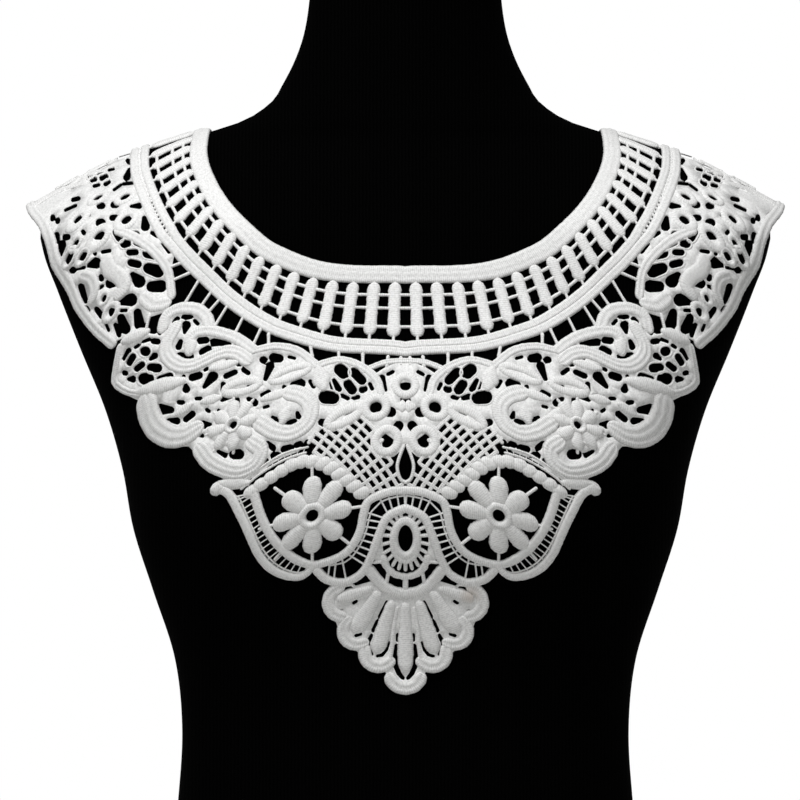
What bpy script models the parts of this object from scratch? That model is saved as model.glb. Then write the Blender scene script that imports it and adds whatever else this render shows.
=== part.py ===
"""Lace collar laid on a limbless dress form.

The collar is one-piece guipure lace: a neck band, a ladder of pegs, an outer band and a floral
yoke that ends in a fan. Its pattern is a set of threads, each a route with a width, set out in mm
on a front and a back view of the form. The threads, and the ground between them with its windows,
are laid on the surface that the lace takes over the form. Their union is outlined, the gaps over
4 mm stay open, and the outline gets a wall. The two halves meet at the centre front.
"""
import math
from collections import namedtuple

import bmesh
import bpy
import numpy as np
from mathutils import Vector
from mathutils.geometry import delaunay_2d_cdt

MM = 0.001
TO_MIDDLE = 11.55     # the form's own axis lies this far behind the middle of the whole depth, in mm

# Dress form, in mm
FORM_SEGMENTS = 40
FORM_RING_STEP = 36.0
NECK_TOP = 559.0
NECK_ROUND = 3.0
Section = namedtuple("Section", "z half front back square")
FORM_SECTIONS = (
    Section(0, 139, 97, 93, 2.4),
    Section(45, 132, 92, 90, 2.4),
    Section(94, 126, 86, 83, 2.4),
    Section(132, 124, 83, 79, 2.4),
    Section(170, 128, 87, 80, 2.4),
    Section(209, 140.5, 98, 84, 2.5),
    Section(242, 151, 112, 88, 2.6),
    Section(275, 157, 118, 91, 2.7),
    Section(308, 166.5, 112, 94, 2.8),
    Section(341, 180, 98, 95, 3.0),
    Section(374, 193, 85, 90, 3.1),
    Section(396, 201, 80, 83, 3.0),
    Section(407, 202.5, 77, 79, 2.8),
    Section(418, 196, 72, 74, 2.5),
    Section(429, 184, 68, 70, 2.1),
    Section(440, 169, 64, 66, 1.7),
    Section(451, 148, 60, 62, 1.45),
    Section(460, 117, 57, 59, 1.45),
    Section(467, 94, 56, 57, 1.75),
    Section(478, 75.5, 54, 55, 2.0),
    Section(490, 67.5, 52.5, 53, 2.0),
    Section(511, 58, 51, 51, 2.0),
    Section(534, 53.5, 50, 50, 2.0),
    Section(559, 53, 50, 50, 2.0),
)

# How the lace lies
CLEAR = 0.95          # from the form to the lace's inner face
WALL = 1.3            # thickness at the lace's edges
CROWN = 0.6           # extra thickness along the middle of the wide bands
STIFF_TURN = 1.15     # where the form turns away more steeply than this, the lace goes straight on
CAP_Z = 462.0         # above the neckline the lace's surface would run level over the neck
SLICE_STEP = 3.0
RUN_STEP = 2.0
FRONT_RUN = 440.0
BACK_RUN = 250.0
WIDEST = 222.0
FRONT = 1
BACK = -1

# Outlining
HALF_GAP = 0.15       # each half stops this far from the centre line
CELL = 0.6
OUTLINE_TOLERANCE = 0.62
LONGEST_EDGE = 15.0
MOST_SAG = 0.32
INNER_SAG = 0.5       # an edge inside the lace that sags more is parted, this often at most
REFINEMENTS = 3
SMALLEST_GAP = 3.7
GAPS_PER_HALF = 136
BACK_OPENING = 3.0    # half the opening at the centre back

# Routes are given from the centre line, x from it and z above the base, on the front or the back view
NECK_FRONT = ((0, 382), (27, 382.5), (49, 385), (68.5, 392), (82, 400), (98.5, 416), (108.5, 431),
              (114, 446.5), (113, 460.5))
NECK_BACK = ((111, 455), (104, 444), (88, 434), (62, 427), (32, 424), (4, 423.5))
OUTER_FRONT = ((0, 341), (37, 343.5), (62.5, 350), (78, 356.5), (95, 368), (109.5, 381.5), (121.5, 393.5),
               (132.5, 407.5), (140.5, 423), (146, 437.5), (147, 447))
OUTER_BACK = ((145, 437), (138, 424), (116, 409), (84, 398), (44, 392), (4, 391))
NECK_WIDTH = 10.0
OUTER_WIDTH = 9.0
PEG_WIDTH = 6.4
PEG_STEM = 1.8
BRIDE = 1.5
BRIDE_SHARE = 0.46    # where the bride crosses each ladder gap
NET_WIDTH = 3.0
NET_LINES = 7
TIE_WIDTH = 3.0       # the closing edges at the centre back

Cord = namedtuple("Cord", "name width route")
FRONT_CORDS = (
    Cord("arch_over_scroll", 6.8, ((133, 353.4), (131.2, 359.3), (125.7, 363.1), (119.3, 363.8),
                                   (113.4, 362.5), (109.3, 358.8), (107.8, 354.2))),
    Cord("scroll", 8, ((126.2, 352.9), (128.8, 348.5), (131, 343.5), (130.6, 338.6),
                       (127.2, 334.2), (121.8, 331.8), (115.4, 332.5), (110.5, 334.7),
                       (104.6, 337.5), (97.7, 339.6), (91.3, 338.4), (86.9, 335.2))),
    Cord("scroll_comma", 6.4, ((118, 340.5), (118.5, 344.9), (116.3, 349), (112.5, 350.9),
                               (107.5, 351.2), (101.1, 349.9), (93.8, 347.5), (88.8, 344.5),
                               (83.9, 340.7))),
    Cord("arch_first", 4.6, ((82, 340.5), (71, 342.5), (59, 340), (48.5, 332))),
    Cord("arch_second", 4.6, ((48.5, 332), (36, 335), (24.5, 331.5), (16, 324.5), (13.5, 317))),
    Cord("arch_middle", 3.6, ((23, 329), (11.5, 333.5), (0, 334.5))),
    Cord("hexagon_band", 3.6, ((156.5, 343), (158.5, 332), (159, 323.5), (152.5, 318.5),
                               (145, 317))),
    Cord("scallop", 11.6, ((141.6, 312.4), (140, 304.7), (135.6, 297.6), (127.9, 293.4),
                           (120.2, 294), (115.8, 296.5))),
    Cord("corner_scroll", 8.8, ((112, 286.5), (107, 280), (98.5, 275.5), (89.5, 274.5),
                                (81.5, 279), (79, 286), (83.5, 290))),
    Cord("bud_scroll", 9.6, ((63, 317.1), (57.5, 315.7), (52.8, 311.9), (51.7, 306.5),
                             (54.7, 299.8), (63, 295), (71.8, 296.2), (79, 300.5))),
    Cord("medallion_outside", 5.2, ((103.1, 265.1), (98.2, 263.7), (94.6, 259.6), (91.6, 253.6),
                                    (88.3, 247), (85.2, 240.1), (82.8, 234.3), (80, 228.8),
                                    (75.9, 223.6), (71.2, 220), (66.8, 218.1), (62.4, 217),
                                    (58, 217), (54.2, 218.9), (50.9, 222.5))),
    Cord("medallion_inside", 5.2, ((82.8, 262.5), (79.2, 250.8), (75.6, 243.1), (71.2, 236.5),
                                   (65.7, 230.7), (58.6, 225.8), (50.6, 223.6), (41.2, 225.8),
                                   (32.7, 230.2), (27.5, 236.5), (24.5, 243.1), (22.8, 251.9),
                                   (20.6, 258), (15.1, 261.2), (8, 263.5), (0, 264.3))),
    Cord("oval_arch", 5.1, ((45, 218), (34, 215), (24.5, 218.5), (19, 227.5), (15, 238.5),
                            (10, 249.5), (0, 254.5))),
    Cord("bowl", 6.4, ((20, 221), (14, 213.5), (7.5, 209), (0, 207.5))),
    Cord("sash_upper", 1.5, ((91, 267.5), (79, 276.5), (66.5, 284), (53.5, 287.5))),
    Cord("sash_lower", 1.5, ((89.5, 265), (78, 274), (65.5, 281), (54.5, 284.5))),
    Cord("shoulder_cord", 4.9, ((158, 406.5), (146, 401), (136.1, 392.7), (130.4, 383.9),
                                (128.4, 370.7))),
    Cord("shoulder_bulb", 8, ((132.3, 366.3), (137.8, 365.5), (142.7, 369.1))),
    Cord("shoulder_leaf", 7.8, ((164.2, 390), (162, 385), (156.5, 381.2), (154, 376.2),
                                (156.5, 372.4))),
    Cord("shoulder_curl", 5.4, ((176.8, 382.3), (172.4, 380.3), (170.5, 374.6), (171.9, 369.1))),
    Cord("shoulder_top", 5, ((206.5, 419), (196.5, 425.5), (186.5, 430), (177, 432.5))),
)
SHOULDER_RIM = ((205, 416.5), (200, 411), (195.5, 401.5), (192, 389.5), (184.5, 377), (179, 365),
                (170, 353), (160.5, 344.5))
RIM_WIDTH = 4.6
Leaf = namedtuple("Leaf", "name start end width")
FRONT_LEAVES = (
    Leaf("hexagon_leaf", (145, 318.5), (122.5, 323.5), 8.5),
    Leaf("hexagon_pad", (153.5, 346.5), (142.5, 350.5), 7.8),
    Leaf("under_scroll", (106, 330.5), (93, 333.5), 6),
    Leaf("arch_lobe", (47.5, 329), (45, 320.5), 10),
    Leaf("bud", (67, 302), (65, 307), 8.5),
    Leaf("bud_pad", (78, 313.5), (63.5, 318), 6),
    Leaf("scroll_pad", (84.5, 307), (79, 300.5), 8),
    Leaf("link_pad", (110.5, 312.5), (102, 314.5), 6),
    Leaf("scallop_leaf", (124.3, 306.1), (116.9, 310.8), 6),
    Leaf("comma_head", (117.4, 340.2), (118.3, 345.4), 8),
    Leaf("corner_pad", (106.5, 297), (98.5, 290.5), 7),
    Leaf("knob", (105, 265), (102.5, 265), 8.5),
    Leaf("flower_core", (3.5, 309.5), (0, 309.5), 9),
    Leaf("net_leaf", (41.5, 300), (25.5, 308), 12),
    Leaf("comma_leaf", (72.5, 324), (53.5, 330.5), 9.5),
    Leaf("side_leaf", (98, 318.5), (81, 322), 10.5),
)
Ring = namedtuple("Ring", "name centre hole_x hole_z width")
FRONT_RINGS = (
    Ring("centre_oval", (0, 238), 4, 7.7, 4.8),
    Ring("flower_side", (16.2, 309), 3.3, 3.2, 5),
    Ring("flower_low", (10.2, 291), 3.6, 3.8, 5.2),
    Ring("flower_top", (0, 321), 3, 3, 5),
    Ring("shoulder_petal", (180.2, 412.5), 2.4, 2.4, 4.8),
    Ring("shoulder_petal", (153.5, 412), 2.8, 2.6, 4.8),
    Ring("shoulder_petal", (168.5, 403), 3, 2.6, 4.8),
    Ring("shoulder_petal", (154.5, 424.5), 2.6, 2.2, 3.8),
    Ring("shoulder_petal", (169.5, 424), 2.6, 2.2, 3.8),
    Ring("shoulder_ring", (184.5, 392), 2.4, 3, 2.4),
    Ring("shoulder_ring", (177, 392.5), 2.4, 2.4, 2.2),
    Ring("shoulder_ring", (161.5, 362), 2.2, 2.6, 3),
    Ring("shoulder_ring", (181, 399.5), 1.9, 1.9, 2.2),
    Ring("shoulder_ring", (165.3, 369.5), 1.4, 1.9, 2.4),
)
Daisy = namedtuple("Daisy", "name centre hole petals reach petal_width stem_reach")
FRONT_DAISIES = (
    Daisy("medallion_daisy", (51, 250.5), 3.6, 8, 21.5, 8.8, 27.0),
    Daisy("small_daisy", (94, 299.5), 2.2, 8, 13.8, 6.2, 15.0),
)
Patch = namedtuple("Patch", "name upper lower")
FRONT_PATCHES = (
    Patch("diamond_net", ((51.5, 289), (41.5, 297), (29.5, 300.5), (18.5, 299)),
          ((41.5, 276), (29.5, 267.5), (18.5, 263), (7.5, 265))),
)
Thread = namedtuple("Thread", "start end")
FRONT_BRIDES = (
    Thread((119, 383), (129.5, 379)), Thread((123.5, 391), (131.5, 386.5)),
    Thread((7.5, 285), (7.5, 265)), Thread((53.5, 286), (51.5, 279.5)),
    Thread((91, 266), (84.5, 263)), Thread((78, 275), (75.5, 269.5)),
    Thread((9.5, 225.5), (13.5, 215.5)), Thread((1, 228.5), (1, 209)),
    Thread((8.5, 236.5), (16, 236.5)), Thread((5, 247.5), (9.5, 251)),
    Thread((7.5, 230), (18.5, 225.5)), Thread((1, 247.5), (1, 254)),
    Thread((45, 224.5), (45, 216.5)), Thread((41.5, 218), (42.5, 208)),
)
# Ground between the cords, and the windows in it: where each begins and ends, with its width at
# both ends
WEB = (
    (157.6, 342.7), (153.2, 347.1), (143.3, 351.5), (135, 350.4), (131.7, 356.4), (128.4, 363),
    (121.8, 365.8), (113, 364.7), (107.5, 360.3), (105.3, 354.2), (95.4, 351.5), (87.7, 348.2),
    (82.2, 341.6), (75.6, 343.8), (66.8, 342.7), (58, 338.2), (48.7, 331.7), (41.5, 335.5), (33.3, 336.6),
    (25, 333.3), (17.9, 326.7), (11.3, 331.1), (4.7, 333.6), (0, 334.1), (0, 289.9), (2.5, 285.5),
    (5.8, 282.2), (10.7, 280.8), (15.7, 282.7), (19, 286.6), (19.5, 291), (17.9, 294.8), (20.1, 300.9),
    (23.9, 304.7), (26.7, 303.6), (29.4, 299.8), (34.9, 296.5), (41.5, 295.4), (45.9, 297), (49.2, 293.2),
    (54.7, 291), (58, 284.9), (66.8, 281.6), (74.5, 277.2), (81.1, 271.7), (86.6, 269), (93.2, 268.4),
    (100.9, 270.6), (108.6, 276.1), (114.1, 283.2), (118.5, 287.7), (128.4, 287.7), (137.2, 293.2),
    (141.6, 301.4), (144.4, 312.4), (151.5, 315.7), (158.7, 320.1), (159.2, 332.8),
)
FAN_WEB = (
    (41.5, 211.2), (33.3, 212.9), (23.9, 213.4), (16.8, 215.1), (12.4, 210.1), (5.8, 206.8), (0, 205.7),
    (0, 154), (5.8, 156.2), (11.3, 163.9), (18.4, 166.1), (24.5, 173.2), (30.5, 178.8), (36, 185.9),
    (39.9, 195.3), (43.2, 203.5),
)
SHOULDER_INNER = ((144.4, 352), (140.5, 358.6), (132.3, 360.8), (127.9, 367.4), (128.4, 376.8),
                  (128.4, 385), (126.2, 396), (132.8, 406.5), (140, 421.9), (144.4, 437.3),
                  (146.6, 447.2))
WINDOWS = (
    (93.9, 299.8, 3.9, 93.6, 299.8, 3.9), (120.2, 354.2, 4.4, 121.1, 350.2, 1.1),
    (112.5, 345.7, 3.3, 109.5, 346, 3.3), (105.1, 344.9, 3.6, 96.8, 344, 2.2),
    (111.1, 339.4, 3.6, 108.1, 341, 3.6), (105.3, 326.2, 5, 110, 320.5, 1.7),
    (116.6, 325.6, 3.6, 113, 326.7, 3.6), (120.2, 321.2, 1.7, 119.9, 319.3, 3.9),
    (134.5, 324.9, 2.8, 129, 326.4, 3.6), (139.2, 331.1, 4.4, 135.6, 330.9, 4.4),
    (143, 325.1, 6.1, 140.8, 325.1, 6.1), (142.8, 340.1, 4.7, 142.2, 340.1, 4.7),
    (151.5, 325.1, 1.4, 149.1, 325.1, 3.3), (133.7, 308.4, 5.5, 128, 308, 3),
    (129.4, 302.4, 1.4, 124.7, 302, 3.3), (113, 299.5, 3.9, 110.3, 299.8, 4.1),
    (93.8, 283.5, 4.4, 90.8, 283.7, 5), (92.7, 313, 3.6, 92.1, 307.5, 2.5),
    (85.8, 313.8, 1.7, 82.5, 311.6, 3.6), (78.1, 335, 3.3, 77.6, 335, 3.3),
    (72.3, 336.3, 4.4, 69, 335.8, 3.9), (74, 331.7, 3.9, 76.7, 324.5, 1.7),
    (61.1, 321.2, 3.6, 57.5, 322, 5), (66.3, 286.3, 3.3, 62.7, 287.1, 3.3),
    (35.8, 329.5, 6.1, 33.8, 327.8, 6.1), (28.1, 328.1, 4.7, 23.9, 323.7, 4.4),
    (31.4, 321.5, 4.7, 29.2, 318.5, 4.7), (44, 314.6, 6.6, 39.6, 314.1, 6.1),
    (45.9, 300.9, 3.3, 44.8, 300.6, 3.6), (17.3, 309.1, 5.2, 15.1, 309.7, 5.2),
    (8.8, 306.5, 5, 8, 306.5, 5), (1.9, 319.6, 4.7, 0, 319.8, 5.2),
    (5.2, 297, 4.4, 3.6, 299.2, 4.4), (11.3, 292.9, 3, 9.6, 289.9, 6.1),
)
SHOULDER_WINDOWS = (
    (152.4, 440, 1.4, 153.7, 435.6, 3.6), (155.7, 424.7, 3.3, 153.2, 425, 3.3),
    (180.5, 412.8, 4.6, 180, 412.2, 4.6), (154.3, 412, 4.2, 152.9, 412, 4.2),
    (169.7, 404, 4.4, 167.5, 404, 4.4), (168.3, 419.7, 3.3, 167.2, 419.7, 3.3),
    (160.6, 420.2, 3.3, 159.5, 420.2, 3.3), (168.3, 410.5, 3.9, 167.2, 410.5, 3.9),
    (143.7, 413.1, 1.7, 143, 408.4, 4.4), (159.2, 405.1, 3, 157.3, 402.3, 3.6),
    (154.8, 398.9, 3.6, 152.6, 399.6, 3.6), (142.2, 393.8, 4.2, 138.1, 393, 4.4),
    (150.7, 388.9, 3.6, 146.9, 388, 3.6), (141.1, 385.8, 5.5, 136.1, 384.2, 6.6),
    (149.6, 382, 3.3, 146.3, 378.7, 6.6), (139.2, 375.7, 5.5, 134.2, 375.9, 6.1),
    (188.7, 399, 4.4, 189.5, 393.8, 1.7), (181.6, 399.6, 3.6, 180.5, 399.6, 3.6),
    (184.3, 393.3, 4.4, 184.3, 390.5, 4.4), (177.9, 392.7, 3.9, 176, 392.7, 3.9),
    (173.5, 387.8, 2.2, 170, 388.9, 5.5), (184, 384.7, 1.7, 182.6, 385.3, 3.3),
    (177.9, 376.2, 3.3, 175.7, 368.5, 2.8), (162.2, 377.6, 4.7, 159.8, 378.7, 5),
    (158.1, 366.9, 1.7, 150.7, 368.5, 6.6), (155.9, 358.6, 3.9, 153.5, 352.6, 5.2),
    (146.9, 361.4, 3.9, 145.8, 354.8, 5.2), (134.5, 359.2, 1.7, 138.3, 352.6, 5.5),
)
WINDOW_GROWTH = 0.3   # a window's edge lies this far outside its reading
BACK_WINDOWS_ABOVE = 356.0
BEADS_ROUTE = ((84, 263.5), (70.5, 273), (58, 279.5), (44.5, 278.5), (34, 271), (24, 263))
BEADS = 11
BEAD_SIZE = 7.2
Lobe = namedtuple("Lobe", "centre radius")
FAN_LOBES = (Lobe((0, 164), 9.0), Lobe((14.5, 175), 7.6), Lobe((26, 187), 7.2), Lobe((32.5, 203), 7.8))
FAN_RIM = 7.6
TEARDROP = ((0, 286.5), (0, 273))
TEARDROP_WIDTH = 6.0
Scallop = namedtuple("Scallop", "centre radius")
BACK_SCALLOPS = (Scallop((27, 364), 20.5), Scallop((70, 365), 20.5), Scallop((113, 371), 20.5))
BACK_DAISY = (2.6, 8, 14.5, 6.4, 20.5)
BACK_BORDER_WIDTH = 4.6
BACK_TIE_END = (4.5, 345)
BACK_END_CORD = ((133, 360), (140, 352), (150, 346), (160, 344))
BACK_END_BRIDE = ((133, 385), (146, 372), (158, 366))
SHOULDER_FROM = (125.0, 342.0)
CREST_TIP = (207.5, 0.0)     # on the shoulder ridge, as x and the run past the ridge
FRONT_PEGS = 18
BACK_PEGS = 15


def spread(name, heights):
    """One column of the form's sections, read smoothly at the given heights."""
    rows = [row.z for row in FORM_SECTIONS]
    values = [getattr(row, name) for row in FORM_SECTIONS]
    slopes = np.gradient(np.array(values, float), np.array(rows, float))
    heights = np.clip(np.asarray(heights, float), rows[0], rows[-1])
    below = np.clip(np.searchsorted(rows, heights, side="right") - 1, 0, len(rows) - 2)
    start = np.array(rows, float)[below]
    length = np.array(rows, float)[below + 1] - start
    part = (heights - start) / length
    low = np.array(values, float)[below]
    high = np.array(values, float)[below + 1]
    rise = part * part * (3.0 - 2.0 * part)
    ease_in = part * (1.0 - part) ** 2
    ease_out = part * part * (part - 1.0)
    bend = length * (ease_in * slopes[below] + ease_out * slopes[below + 1])
    return low + rise * (high - low) + bend


def stiff_depth(x, heights, side):
    """Depth of the lace's surface at x on each level, straight on past a steep turn, and its reach."""
    half = spread("half", heights)
    deep = spread("front" if side == FRONT else "back", heights)
    square = spread("square", heights)
    steep = (STIFF_TURN * half / deep) ** (square / (square - 1.0))
    turn = half * (steep / (1.0 + steep)) ** (1.0 / square)
    turn_depth = deep * (1.0 / (1.0 + steep)) ** (1.0 / square)
    share = np.minimum(np.abs(x) / half, 1.0)
    round_part = deep * (1.0 - share ** square) ** (1.0 / square)
    straight_part = turn_depth - STIFF_TURN * (x - turn)
    reach = turn + turn_depth / STIFF_TURN
    return np.where(x <= turn, round_part, np.maximum(straight_part, 0.0)), reach


def slice_of_form(x, side):
    """The lace's surface in the plane at x, from the shoulder ridge down one side: run, y and z."""
    levels = np.linspace(CAP_Z, 385.0, 400)
    reach = stiff_depth(x, levels, side)[1]
    crest = levels[np.argmax(reach >= x)] if reach.max() >= x else 385.0
    floor = 110.0 if side == FRONT else 250.0
    heights = crest - (crest - floor) * np.linspace(0.0, 1.0, 300) ** 2
    depth = stiff_depth(x, heights, side)[0]
    heights = np.concatenate(([heights[0]], heights))
    depth = np.concatenate(([0.0], depth))
    steps = np.hypot(np.diff(heights), np.diff(depth))
    run = np.concatenate(([0.0], np.cumsum(steps)))
    return run, -side * depth, heights


class Cloth:
    """The surface the lace takes: x across, and the run down each slice from the shoulder ridge."""

    def __init__(self):
        self.x = np.arange(0.0, WIDEST + SLICE_STEP, SLICE_STEP)
        self.run = np.arange(-BACK_RUN, FRONT_RUN + RUN_STEP, RUN_STEP)
        self.y = np.empty((len(self.x), len(self.run)))
        self.z = np.empty_like(self.y)
        ahead = self.run >= 0.0
        for row, x in enumerate(self.x):
            run, y, z = slice_of_form(x, FRONT)
            self.y[row, ahead] = np.interp(self.run[ahead], run, y)
            self.z[row, ahead] = np.interp(self.run[ahead], run, z)
            run, y, z = slice_of_form(x, BACK)
            self.y[row, ~ahead] = np.interp(-self.run[~ahead], run, y)
            self.z[row, ~ahead] = np.interp(-self.run[~ahead], run, z)
        taut = np.stack((self.y, self.z), axis=-1)
        for grid in (self.y, self.z):
            for axis, turns in ((1, 3), (0, 2)):
                for _ in range(turns):
                    pad = ((1, 1), (0, 0)) if axis == 0 else ((0, 0), (1, 1))
                    wide = np.pad(grid, pad, mode="reflect")
                    before = wide[:-2] if axis == 0 else wide[:, :-2]
                    after = wide[2:] if axis == 0 else wide[:, 2:]
                    grid[:] = 0.5 * grid + 0.25 * (before + after)
        across = np.stack((np.ones_like(self.y), np.gradient(self.y, SLICE_STEP, axis=0),
                           np.gradient(self.z, SLICE_STEP, axis=0)), axis=-1)
        down = np.stack((np.zeros_like(self.y), np.gradient(self.y, RUN_STEP, axis=1),
                         np.gradient(self.z, RUN_STEP, axis=1)), axis=-1)
        outward = np.cross(down, across)
        self.outward = outward / np.maximum(np.linalg.norm(outward, axis=-1, keepdims=True), 1e-6)
        sunk = np.sum((taut - np.stack((self.y, self.z), axis=-1)) * self.outward[..., 1:], axis=-1)
        self.y += np.maximum(sunk, 0.0) * self.outward[..., 1]
        self.z += np.maximum(sunk, 0.0) * self.outward[..., 2]

    def weights(self, x, run):
        """Grid cell and share of each point."""
        column = np.clip(np.asarray(x, float) / SLICE_STEP, 0.0, len(self.x) - 1.001)
        line = np.clip((np.asarray(run, float) + BACK_RUN) / RUN_STEP, 0.0, len(self.run) - 1.001)
        return column.astype(int), line.astype(int), column % 1.0, line % 1.0

    def read(self, grid, x, run):
        """A grid's values between its points."""
        i, j, u, v = self.weights(x, run)
        if grid.ndim == 3:
            u = u[:, None]
            v = v[:, None]
        near = grid[i, j] * (1.0 - v) + grid[i, j + 1] * v
        far = grid[i + 1, j] * (1.0 - v) + grid[i + 1, j + 1] * v
        return near * (1.0 - u) + far * u

    def place(self, x, run, lift):
        """Points of the form's space, lifted off the form's surface along its outward direction."""
        x = np.asarray(x, float)
        run = np.asarray(run, float)
        spot = np.stack((x, self.read(self.y, x, run), self.read(self.z, x, run)), axis=-1)
        return spot + self.read(self.outward, x, run) * np.reshape(lift, (-1, 1))

    def find(self, spot, side=FRONT):
        """The point of the cloth that the front or back view shows at x and z."""
        x, z = spot
        rows = self.run >= 0.0 if side == FRONT else self.run <= 0.0
        column = min(x / SLICE_STEP, len(self.x) - 1.001)
        runs = []
        for row in (int(column), int(column) + 1):
            fall = -self.z[row, rows][::side]
            runs.append(np.interp(-z, fall, self.run[rows][::side]))
        share = column % 1.0
        return np.array((x, runs[0] * (1.0 - share) + runs[1] * share))


def smooth_line(points, step=1.6):
    """A curve through the points, which are cloth points, with a point about every step."""
    points = np.asarray(points, float)
    ends = np.vstack((2.0 * points[0] - points[1], points, 2.0 * points[-1] - points[-2]))
    line = []
    for before, start, end, after in zip(ends, ends[1:], ends[2:], ends[3:]):
        count = max(2, int(math.ceil(np.linalg.norm(end - start) / step)))
        for part in np.arange(count) / count:
            line.append(0.5 * (2.0 * start + (end - before) * part
                               + (2.0 * before - 5.0 * start + 4.0 * end - after) * part ** 2
                               + (3.0 * start - before - 3.0 * end + after) * part ** 3))
    line.append(points[-1])
    return np.array(line)


def at_share(line, share):
    """The point that lies at a share of a line's length."""
    steps = np.linalg.norm(np.diff(line, axis=0), axis=1)
    along = np.concatenate(([0.0], np.cumsum(steps))) / steps.sum()
    return np.array([np.interp(share, along, line[:, axis]) for axis in (0, 1)])


def around(start, end, first, last):
    """The closed line round a window with round ends of these half widths."""
    start = np.array(start)
    end = np.array(end)
    way = end - start
    turns = np.linspace(0.5 * math.pi, 1.5 * math.pi, 9) + math.atan2(way[1], way[0])
    back = start + first * np.stack((np.cos(turns), np.sin(turns)), axis=-1)
    front = end - last * np.stack((np.cos(turns), np.sin(turns)), axis=-1)
    return np.vstack((back, front))


class Pattern:
    """The threads of half the collar: each is a line on the cloth with its half width at each point."""

    def __init__(self, cloth):
        self.cloth = cloth
        self.threads = []
        self.webs = []
        self.cuts = []
        self.gaps = []

    def add(self, line, half):
        line = np.asarray(line, float)
        self.threads.append((line, np.broadcast_to(np.asarray(half, float), (len(line),)).copy()))

    def route(self, points, side=FRONT):
        return smooth_line([self.cloth.find(point, side) for point in points])

    def cord(self, points, width, side=FRONT):
        self.add(self.route(points, side), 0.5 * width)

    def leaf(self, start, end, width, side=FRONT):
        ends = (self.cloth.find(start, side), self.cloth.find(end, side))
        part = np.linspace(0.0, 1.0, 9)
        line = ends[0] + (ends[1] - ends[0]) * part[:, None]
        self.add(line, 0.5 * width * (1.0 - 0.4 * (2.0 * part - 1.0) ** 2))

    def ring(self, centre, hole_x, hole_z, width, side=FRONT):
        middle = self.cloth.find(centre, side)
        turn = np.linspace(0.0, 2.0 * math.pi, 25)
        reach = np.array((hole_x, hole_z)) + 0.5 * width
        self.add(middle + np.stack((np.cos(turn), np.sin(turn)), axis=-1) * reach, 0.5 * width)

    def daisy(self, centre, hole, petals, reach, petal_width, stem_reach, side=FRONT):
        self.flower(self.cloth.find(centre, side), hole, petals, reach, petal_width, stem_reach)

    def flower(self, middle, hole, petals, reach, petal_width, stem_reach):
        circle = np.linspace(0.0, 2.0 * math.pi, 17)
        eye = np.stack((np.cos(circle), np.sin(circle)), axis=-1) * (hole + 0.1 * reach)
        self.add(middle + eye, 0.1 * reach)
        for turn in np.arange(petals) * 2.0 * math.pi / petals:
            heading = np.array((math.cos(turn), math.sin(turn)))
            distance = np.linspace(hole + 0.16 * reach, reach - 0.5 * petal_width, 6)
            width = np.linspace(0.3, 0.5, 6) * petal_width
            self.add(middle + distance[:, None] * heading, width)
            self.add((middle + (reach - 2.0) * heading, middle + stem_reach * heading), 0.5 * BRIDE)

    def windows(self, rows, side=FRONT):
        for x, z, width, far_x, far_z, far_width in rows:
            view = around((x, z), (far_x, far_z), 0.5 * width + WINDOW_GROWTH,
                          0.5 * far_width + WINDOW_GROWTH)
            flat = np.array([self.cloth.find((abs(spot[0]), spot[1]), side) for spot in view])
            flat[:, 0] *= np.where(view[:, 0] < 0.0, -1.0, 1.0)
            self.gaps.append(flat)

    def bands(self):
        """Neck band, outer band and the pegs between them, from the centre front to the centre back."""
        find = self.cloth.find
        neck_front = smooth_line([find(point) for point in NECK_FRONT])
        outer_front = smooth_line([find(point) for point in OUTER_FRONT])
        neck_back = smooth_line([neck_front[-1]] + [find(point, BACK) for point in NECK_BACK])
        outer_back = smooth_line([outer_front[-1]] + [find(point, BACK) for point in OUTER_BACK])
        for line in (neck_front, neck_back):
            self.add(line, 0.5 * NECK_WIDTH)
        for line in (outer_front, outer_back):
            self.add(line, 0.5 * OUTER_WIDTH)
        self.ladder(neck_front, outer_front, FRONT_PEGS)
        self.ladder(neck_back, outer_back, BACK_PEGS)
        self.add((neck_back[-1], outer_back[-1]), 0.5 * TIE_WIDTH)
        self.add((outer_back[-1], find(BACK_TIE_END, BACK)), 0.5 * TIE_WIDTH)

    def ladder(self, inner, outer, pegs):
        for peg in range(pegs):
            top = at_share(inner, (peg + 0.5) / pegs)
            bottom = at_share(outer, (peg + 0.5) / pegs)
            heading = (bottom - top) / np.linalg.norm(bottom - top)
            first = top + heading * (0.5 * NECK_WIDTH + 0.35 * PEG_WIDTH)
            last = bottom - heading * (0.5 * OUTER_WIDTH + 0.75 * PEG_WIDTH)
            self.add((first, last), 0.5 * PEG_WIDTH)
            self.add((top, bottom), 0.5 * PEG_STEM)
            if peg < pegs - 1:
                here = top + BRIDE_SHARE * (bottom - top)
                beyond = at_share(inner, (peg + 1.5) / pegs)
                next_one = beyond + BRIDE_SHARE * (at_share(outer, (peg + 1.5) / pegs) - beyond)
                self.add((here, next_one), 0.5 * BRIDE)

    def side(self, side):
        """The yoke's motifs on the front, and the shoulder ones among them on the back too."""
        def wanted(*points):
            on_shoulder = all(x >= SHOULDER_FROM[0] and z >= SHOULDER_FROM[1] for x, z in points)
            return side == FRONT or on_shoulder

        for cord in FRONT_CORDS:
            if wanted(*cord.route):
                self.cord(cord.route, cord.width, side)
        for leaf in FRONT_LEAVES:
            if wanted(leaf.start, leaf.end):
                self.leaf(leaf.start, leaf.end, leaf.width, side)
        for ring in FRONT_RINGS:
            if wanted(ring.centre):
                self.ring(ring.centre, ring.hole_x, ring.hole_z, ring.width, side)
        for thread in FRONT_BRIDES:
            if wanted(thread.start, thread.end):
                self.cord((thread.start, thread.end), BRIDE, side)

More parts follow.
